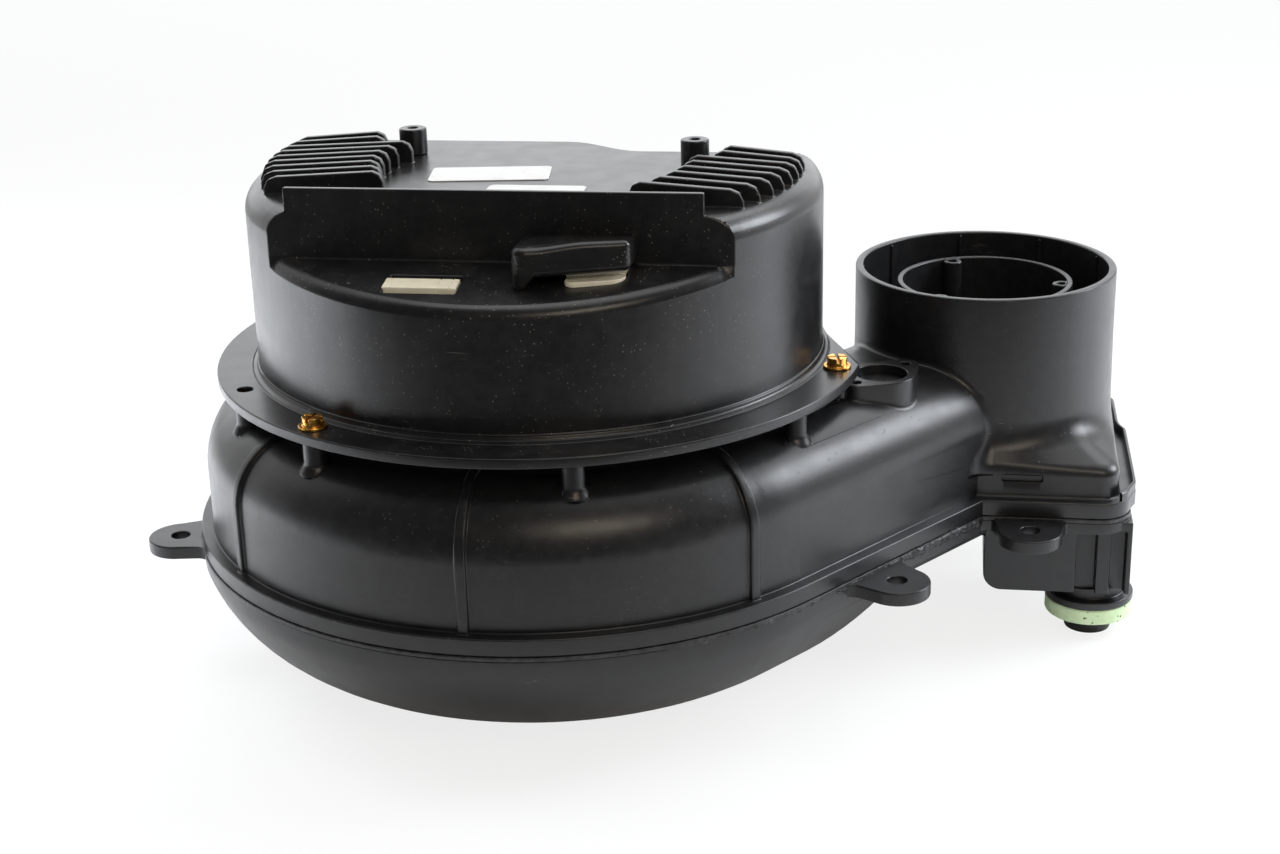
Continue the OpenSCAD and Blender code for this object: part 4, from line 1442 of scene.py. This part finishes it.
@dataclass
class Hood:
    """The hood over the mains plug (millimetres): a slanted front and a rounded left end."""

    left: float = 7.0
    right: float = 38.0
    back: float = -53.6
    front_left: float = -74.0
    front_right: float = -66.0
    round_left: float = 3.8
    round_right: float = 2.2
    wall: float = 2.3
    back_top: float = 136.4
    front_top: Spot = (137.3, 138.5)
    top_rise: Spot = (13.0, 27.0)
    low: Spot = (129.0, 130.0)
    foot_ends: Spot = (10.0, 13.5)
    foot_sink: float = 0.13
    top_soft: float = 2.0
    low_soft: float = 1.9
    least_round: float = 0.4
    arc_steps: int = 8
    front_steps: int = 12

    def between(self, x: float, ends: Spot) -> float:
        """A value that runs evenly from the left end to the right end."""
        return ends[0] + (ends[1] - ends[0]) * (x - self.left) / (self.right - self.left)

    def bottom(self, x: float, y: float) -> float:
        """Height of the lower edge, which stands on the recess floor at the left end."""
        floor = RECESS.floor(y) - self.foot_sink
        return floor + (self.between(x, self.low) - floor) * eased(x, *self.foot_ends)

    def top(self, x: float, y: float) -> float:
        """Finds the height of the top.

        Args:
            x: the place from left to right.
            y: the place from front to back.

        Returns:
            The height, which rises to the front and to the right.
        """
        low, high = self.front_top
        front = low + (high - low) * eased(x, *self.top_rise)
        depth = self.back - self.between(x, (self.front_left, self.front_right))
        return self.back_top + (front - self.back_top) * (self.back - y) / depth

    def plan(self, inset: float, back: float) -> list[Spot]:
        """Draws the outline.

        Args:
            inset: how far it is drawn in.
            back: where it ends at the back.

        Returns:
            Its points from back left round the front to back right.
        """
        ahead = Vector((self.right - self.left, self.front_right - self.front_left)).normalized()
        inward = Vector((-ahead.y, ahead.x))
        spots = []
        for side, radius, into, out_of in (
                (self.left + inset, self.round_left, Vector((0.0, -1.0)), ahead),
                (self.right - inset, self.round_right, ahead, Vector((0.0, 1.0)))):
            base = Vector((self.left, self.front_left)) + inward * inset
            meet = base + ahead * ((side - base.x) / ahead.x)
            radius = max(radius - inset, self.least_round)
            turn = into.angle(out_of)
            start = meet - into * radius * math.tan(turn / 2)
            middle = start + Vector((-into.y, into.x)) * radius
            arm = start - middle
            for k in range(self.arc_steps + 1):
                angle = turn * k / self.arc_steps
                spots.append((middle.x + arm.x * math.cos(angle) - arm.y * math.sin(angle),
                              middle.y + arm.x * math.sin(angle) + arm.y * math.cos(angle)))
        left, right = spots[:self.arc_steps + 1], spots[self.arc_steps + 1:]
        front = [tuple(a + (b - a) * k / self.front_steps for a, b in zip(left[-1], right[0]))
                 for k in range(1, self.front_steps)]
        return [(self.left + inset, back), *left, *front, *right, (self.right - inset, back)]

    def build(self) -> None:
        """Makes the hood, hollow from below."""
        rings = []
        inner_back = self.back - self.wall
        levels = [(self.wall, self.wall, True), (self.wall, self.least_round, False)]
        quarter = [QUARTER * k / 5 for k in range(6)]
        levels += [(self.low_soft * (1 - math.sin(a)), self.low_soft * (1 - math.cos(a)), False)
                   for a in quarter]
        levels += [(self.top_soft * (1 - math.cos(a)), self.top_soft * (1 - math.sin(a)), True)
                   for a in quarter]
        for inset, up, from_top in levels:
            back = inner_back if inset == self.wall else self.back
            ring = []
            for x, y in self.plan(inset, back):
                height = self.top(x, y) - up if from_top else self.bottom(x, y) + up
                ring.append(Vector((x, y, height)) * MM)
            rings.append(ring)
        make_piece("plug_hood", lofted(rings, False), "cover_black", "connector_hood")


@dataclass
class Cover:
    """The finned motor cover with its connectors, labels and screws.

    The lip, the dome and the header are in millimetres.
    """

    softening: Softening = Softening()
    screw_softening: Softening = Softening(0.18 * MM)
    plug_softening: Softening = Softening(0.35 * MM)
    plug_corner: Softening = Softening(3.4 * MM, 8)
    label_softening: Softening = Softening(0.08 * MM)
    label_corner: Softening = Softening(1.6 * MM, 5)
    hood: Hood = field(default_factory=Hood)
    lip_round: float = 4.0
    lip_overlap: float = 0.03
    lip_steps: int = 10
    lip_past: float = 0.08
    lip_over: float = 1.5
    dome_radius: float = 83.5
    header_ends: Spot = (-27.6, -7.5)
    header_sides: Spot = (-71.6, -65.6)
    header_lift: float = 0.35
    header_depth: float = 4.0
    header_marks: tuple[float, ...] = (-25.6, -12.6, -9.4)
    # rounded ends of the header: distance from the end and how far its outline is drawn in
    header_round: tuple[Spot, ...] = ((0.0, 0.35), (0.1, 0.1), (0.35, 0.0))
    # section of a mark: distance along from its middle and depth
    mark_section: tuple[Spot, ...] = ((-0.2, 0.0), (-0.1, 0.12), (0.1, 0.12), (0.2, 0.0))
    # points of the header's long edges: distance from its side and below its top
    header_edge: tuple[Spot, ...] = ((0.0, 0.45), (0.12, 0.13), (0.45, 0.0))
    plug_slanted: float = -60.0 * MM
    plug_slant: float = 0.29
    plug_drop: float = 1.6 * MM

    def lip_tool(self, turns: list[float]) -> bmesh.types.BMesh:
        """What is cut off to round the outer edge of the recess floor.

        Args:
            turns: the angles of the edge's corners about the fan axis, in order.

        Returns:
            The tool as a closed working mesh.
        """
        soft, edge, over = self.lip_round, self.dome_radius, self.lip_over
        rings = []
        for turn in [turns[0] - self.lip_past, *turns, turns[-1] + self.lip_past]:
            fall = RECESS.slope * math.sin(turn)
            top = RECESS.floor(edge * math.sin(turn))
            low = top - soft * fall - (soft - self.lip_overlap) * math.hypot(1.0, fall)
            end = math.atan2(1.0, -fall)
            section = [(edge + self.lip_overlap - soft + soft * math.cos(end * k / self.lip_steps),
                        low + soft * math.sin(end * k / self.lip_steps))
                       for k in range(self.lip_steps + 1)]
            section += [(section[-1][0], section[-1][1] + over), (edge + over, top + over),
                        (edge + over, low)]
            rings.append([Vector((out * math.cos(turn), out * math.sin(turn), height)) * MM
                          for out, height in section])
        work = lofted(rings, False)
        cut = bmesh.ops.bisect_plane(
            work, geom=[*work.verts, *work.edges, *work.faces], clear_outer=True,
            plane_co=Vector((0.0, RECESS.wall - 0.01, 0.0)) * MM, plane_no=Vector((0.0, 1.0, 0.0)))
        bmesh.ops.holes_fill(work, sides=0, edges=[
            part for part in cut["geom_cut"] if isinstance(part, bmesh.types.BMEdge)])
        bmesh.ops.recalc_face_normals(work, faces=work.faces)
        return work

    def shell(self) -> None:
        """The cover, with the broad round lip in front of the recess."""
        work = node_mesh("motor_cover")
        slack = 0.1
        turns = set()
        for x, y, z in (vert.co / MM for vert in work.verts):
            on_dome = abs(math.hypot(x, y) - self.dome_radius) < slack and y < RECESS.wall + slack
            if on_dome and RECESS.floor_front < z < RECESS.floor_back + slack:
                turns.add(round(math.atan2(y, x), 4))
        soften(work, self.softening)
        work = carve(work, self.lip_tool(sorted(turns)), Carve.REMOVE)
        make_piece("finned_cover", work, "cover_black", "motor_cover")

    def header(self) -> bmesh.types.BMesh:
        """Makes the flat signal header.

        Returns:
            A block with fine cross marks that follows the floor's slope.
        """
        left, right = self.header_ends
        stations = [(left + along, inset) for along, inset in self.header_round]
        stations += [(mark + along, depth) for mark in self.header_marks
                     for along, depth in self.mark_section]
        stations += [(right - along, inset) for along, inset in reversed(self.header_round)]
        rings = []
        for x, inset in stations:
            front, back = self.header_sides[0] + inset, self.header_sides[1] - inset
            outline = [(front, self.header_depth)]
            outline += [(front + into, down + inset) for into, down in self.header_edge]
            outline += [(back - into, down + inset) for into, down in reversed(self.header_edge)]
            outline.append((back, self.header_depth))
            rings.append([Vector((x, y, RECESS.floor(y) + self.header_lift - down)) * MM
                          for y, down in outline])
        return lofted(rings, False)

    def connectors(self) -> None:
        """The two cream connectors; the mains plug has a bulging front."""
        work = node_mesh("mains_connector")
        front, left = (min(v.co[axis] for v in work.verts) for axis in (1, 0))
        upright = [e for e in work.edges if (e.verts[0].co - e.verts[1].co).xy.length < WELD
                   and e.verts[0].co.y < front + WELD]
        for vert in work.verts:
            if vert.co.y < self.plug_slanted:
                vert.co.y += self.plug_slant * (vert.co.x - left)
                vert.co.z -= self.plug_drop if vert.co.z > RECESS.floor_back * MM else 0.0
        round_off(work, upright, self.plug_corner)
        soften(work, self.plug_softening)
        make_piece("mains_plug", work, "cream_plastic", "mains_connector")
        make_piece("signal_header", self.header(), "cream_plastic", "signal_connector")

    def labels(self) -> None:
        """The two blank stickers with rounded corners."""
        for name, node in (("sticker_wide", "label_wide"), ("sticker_narrow", "label_narrow")):
            work = node_mesh(node)
            upright = [e for e in work.edges if (e.verts[0].co - e.verts[1].co).xy.length < WELD]
            round_off(work, upright, self.label_corner)
            soften(work, self.label_softening)
            make_piece(name, work, "label_white", node)

    def build(self) -> None:
        """Makes every piece of the cover."""
        self.shell()
        self.hood.build()
        self.connectors()
        self.labels()
        softened_piece("holed_posts", "cover_posts", "cover_black", self.softening)
        softened_piece("cover_fixings", "cover_screws", "yellow_zinc", self.screw_softening)


@dataclass
class Inside:
    """The nodes that stay as they are, each with its own finish."""

    still: tuple[str, ...] = (
        "inlet_ring", "motor_base", "base_screws", "board_screws", "control_board",
        "bus_capacitors", "line_choke", "driver_module", "stator_core", "stator_coils",
        "lower_bearing_outer", "upper_bearing_outer", "shaft_seal")
    turning: tuple[str, ...] = (
        "rotor_bell", "magnet_ring", "shaft", "lower_bearing_inner", "upper_bearing_inner",
        "impeller", "impeller_shroud", "impeller_washer", "impeller_nut")

    def build(self) -> None:
        """Gives each carried-over node the finish of its slot in the record."""
        slots = {part["node"]: part["material_slot"] for part in frame["record"]["subparts"]}
        for body, nodes in ((Body.CASING, self.still), (Body.ROTOR, self.turning)):
            for node in nodes:
                materials = frame["nodes"][node].data.materials
                materials.clear()
                materials.append(PAINT.material(slots[node]))
                log.info("node %s of the %s: %s", node, body.value, slots[node])


# studio


@dataclass(frozen=True)
class Softbox:
    """A large soft lamp.

    Its power is in watts and its sizes are in metres. A lamp that isn't mirrored only lights.
    """

    name: str
    place: Place
    aim: Place
    width: float
    height: float
    power: float
    colour: Colour = WHITE
    mirrored: bool = False
    spread: float = math.pi

    def build(self) -> None:
        """Hangs the lamp in the studio."""
        lamp = bpy.data.lights.new(self.name, "AREA")
        lamp.shape = "RECTANGLE"
        lamp.size = self.width
        lamp.size_y = self.height
        lamp.energy = self.power
        lamp.color = self.colour
        lamp.spread = self.spread
        hung = bpy.data.objects.new(self.name, lamp)
        hung.location = self.place
        hung.rotation_mode = "QUATERNION"
        hung.rotation_quaternion = (Vector(self.aim) - Vector(self.place)).to_track_quat("-Z", "Y")
        hung.visible_camera = False
        hung.visible_glossy = self.mirrored
        bpy.context.scene.collection.objects.link(hung)


@dataclass
class Studio:
    """Pale floor, soft lamps, white surroundings and the camera at the photo's angle."""

    image_width: int = 1280
    focal_px: float = 2064.5
    sensor: float = 36.0
    camera_place: Place = (0.12065, -0.57647, 0.27768)
    look_along: Place = (-0.14736, 0.92659, -0.34599)
    up_along: Place = (-0.03019, 0.34543, 0.93796)
    floor_side: float = 1.1
    floor_back: float = 1.5
    floor_front: float = -0.27
    floor_white: float = 0.9
    floor_tint: float = 0.88
    floor_cloud: float = 0.4
    floor_glow: float = 0.8
    ambient: float = 0.37
    front_dim: float = 0.07
    back_ends: Spot = (-0.2, 0.25)
    lamps: tuple[Softbox, ...] = (
        Softbox("left_box", (-0.54, -0.06, 0.36), (-0.5, -0.02, 0.0), 0.4, 0.55, 3.7,
                (0.91, 0.95, 1.0), spread=math.radians(100)),
        Softbox("right_box", (0.5, 0.12, 0.34), (0.43, 0.1, 0.0), 0.35, 0.5, 1.15,
                (0.88, 0.93, 1.0), spread=math.radians(100)),
        Softbox("side_box", (1.01, 0.33, 0.59), (0.1, -0.02, 0.07), 0.42, 0.42, 8.4,
                (0.89, 0.94, 1.0), True),
        Softbox("high_box", (0.6, 0.67, 1.08), (0.13, 0.0, 0.07), 0.5, 0.5, 2.6,
                (0.95, 0.97, 1.0), True),
        Softbox("back_box", (-0.3, 1.42, 0.55), (0.0, 0.0, 0.12), 2.5, 0.9, 7.2,
                (0.92, 0.96, 1.0), True),
        Softbox("top_box", (0.1, 0.1, 1.6), (0.03, 0.0, 0.08), 1.4, 0.9, 5.5, mirrored=True),
        Softbox("warm_box", (0.5, -0.94, 0.75), (0.03, -0.09, 0.07), 0.6, 0.32, 3.0,
                (1.0, 0.86, 0.7), True))

    def camera(self) -> None:
        """Places the camera where the photo's was, with its angle of view."""
        lens = bpy.data.cameras.new("camera")
        lens.sensor_width = self.sensor
        lens.lens = self.focal_px / self.image_width * self.sensor
        lens.clip_start = 0.01
        ahead, up = Vector(self.look_along), Vector(self.up_along)
        right = ahead.cross(up).normalized()
        turn = Matrix((right, right.cross(ahead), -ahead)).transposed().to_4x4()
        seen = bpy.data.objects.new("camera", lens)
        seen.matrix_world = Matrix.Translation(self.camera_place) @ turn
        bpy.context.scene.collection.objects.link(seen)
        bpy.context.scene.camera = seen

    def surroundings(self) -> None:
        """White to the eye; in gloss white behind and a dim room in front; softer as light."""
        world = bpy.data.worlds.new("surroundings")
        bpy.context.scene.world = world
        kit = NodeKit(world, "Background")
        rays = kit.add("ShaderNodeLightPath").outputs
        parts = kit.add("ShaderNodeSeparateXYZ", Vector=kit.coordinates["Generated"])
        room = kit.ramp(parts.outputs["Y"], *self.back_ends, self.front_dim)
        lit = kit.add("ShaderNodeMix", Factor=rays["Is Glossy Ray"], A=self.ambient, B=room)
        clear = kit.worked(Sum.LARGER, rays["Is Camera Ray"], rays["Is Transmission Ray"])
        white = kit.add("ShaderNodeMix", Factor=clear, A=lit.outputs["Result"], B=1.0)
        kit.set(Color=WHITE, Strength=white.outputs["Result"])

    def floor(self) -> None:
        """Lays the pale floor under the lowest point, ending a little in front of the part.

        It is clear from below, so that the underside can be seen too.
        """
        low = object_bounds()[0].z
        side, front, back = self.floor_side, self.floor_front, self.floor_back
        mesh = bpy.data.meshes.new("floor")
        mesh.from_pydata([(-side, front, low), (side, front, low), (side, back, low),
                          (-side, back, low)], [], [(0, 1, 2, 3)])
        mesh.materials.append(bpy.data.materials.new("floor_white"))
        kit = NodeKit(mesh.materials[0], "Principled BSDF")
        pale, tint = (self.floor_white,) * 3, (self.floor_tint,) * 3
        kit.set(Base_Color=kit.mix(kit.noise(self.floor_cloud), pale, tint), Roughness=0.9)
        rays = kit.add("ShaderNodeLightPath").outputs
        seen = kit.plus(rays["Is Camera Ray"], rays["Is Transmission Ray"])
        glowing = kit.either(kit.times(seen, self.floor_glow), kit.shader,
                             kit.add("ShaderNodeEmission", Color=WHITE, Strength=1.0))
        below = kit.add("ShaderNodeNewGeometry").outputs["Backfacing"]
        one_sided = kit.either(below, glowing, kit.add("ShaderNodeBsdfTransparent"))
        kit.join(one_sided.outputs[0], kit.tree.nodes["Material Output"].inputs["Surface"])
        floor = bpy.data.objects.new("floor", mesh)
        bpy.context.scene.collection.objects.link(floor)
        floor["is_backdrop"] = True

    def build(self) -> None:
        """Sets up the whole studio."""
        bpy.context.scene.view_settings.view_transform = "Standard"
        self.camera()
        self.surroundings()
        self.floor()
        for lamp in self.lamps:
            lamp.build()


def main() -> None:
    """Builds the studio and every piece in order."""
    logging.basicConfig(level=logging.INFO, format="%(name)s: %(message)s")
    for assembly in (Studio(), Casing(), Cover(), Inside()):
        assembly.build()


if __name__ == "__main__":
    main()
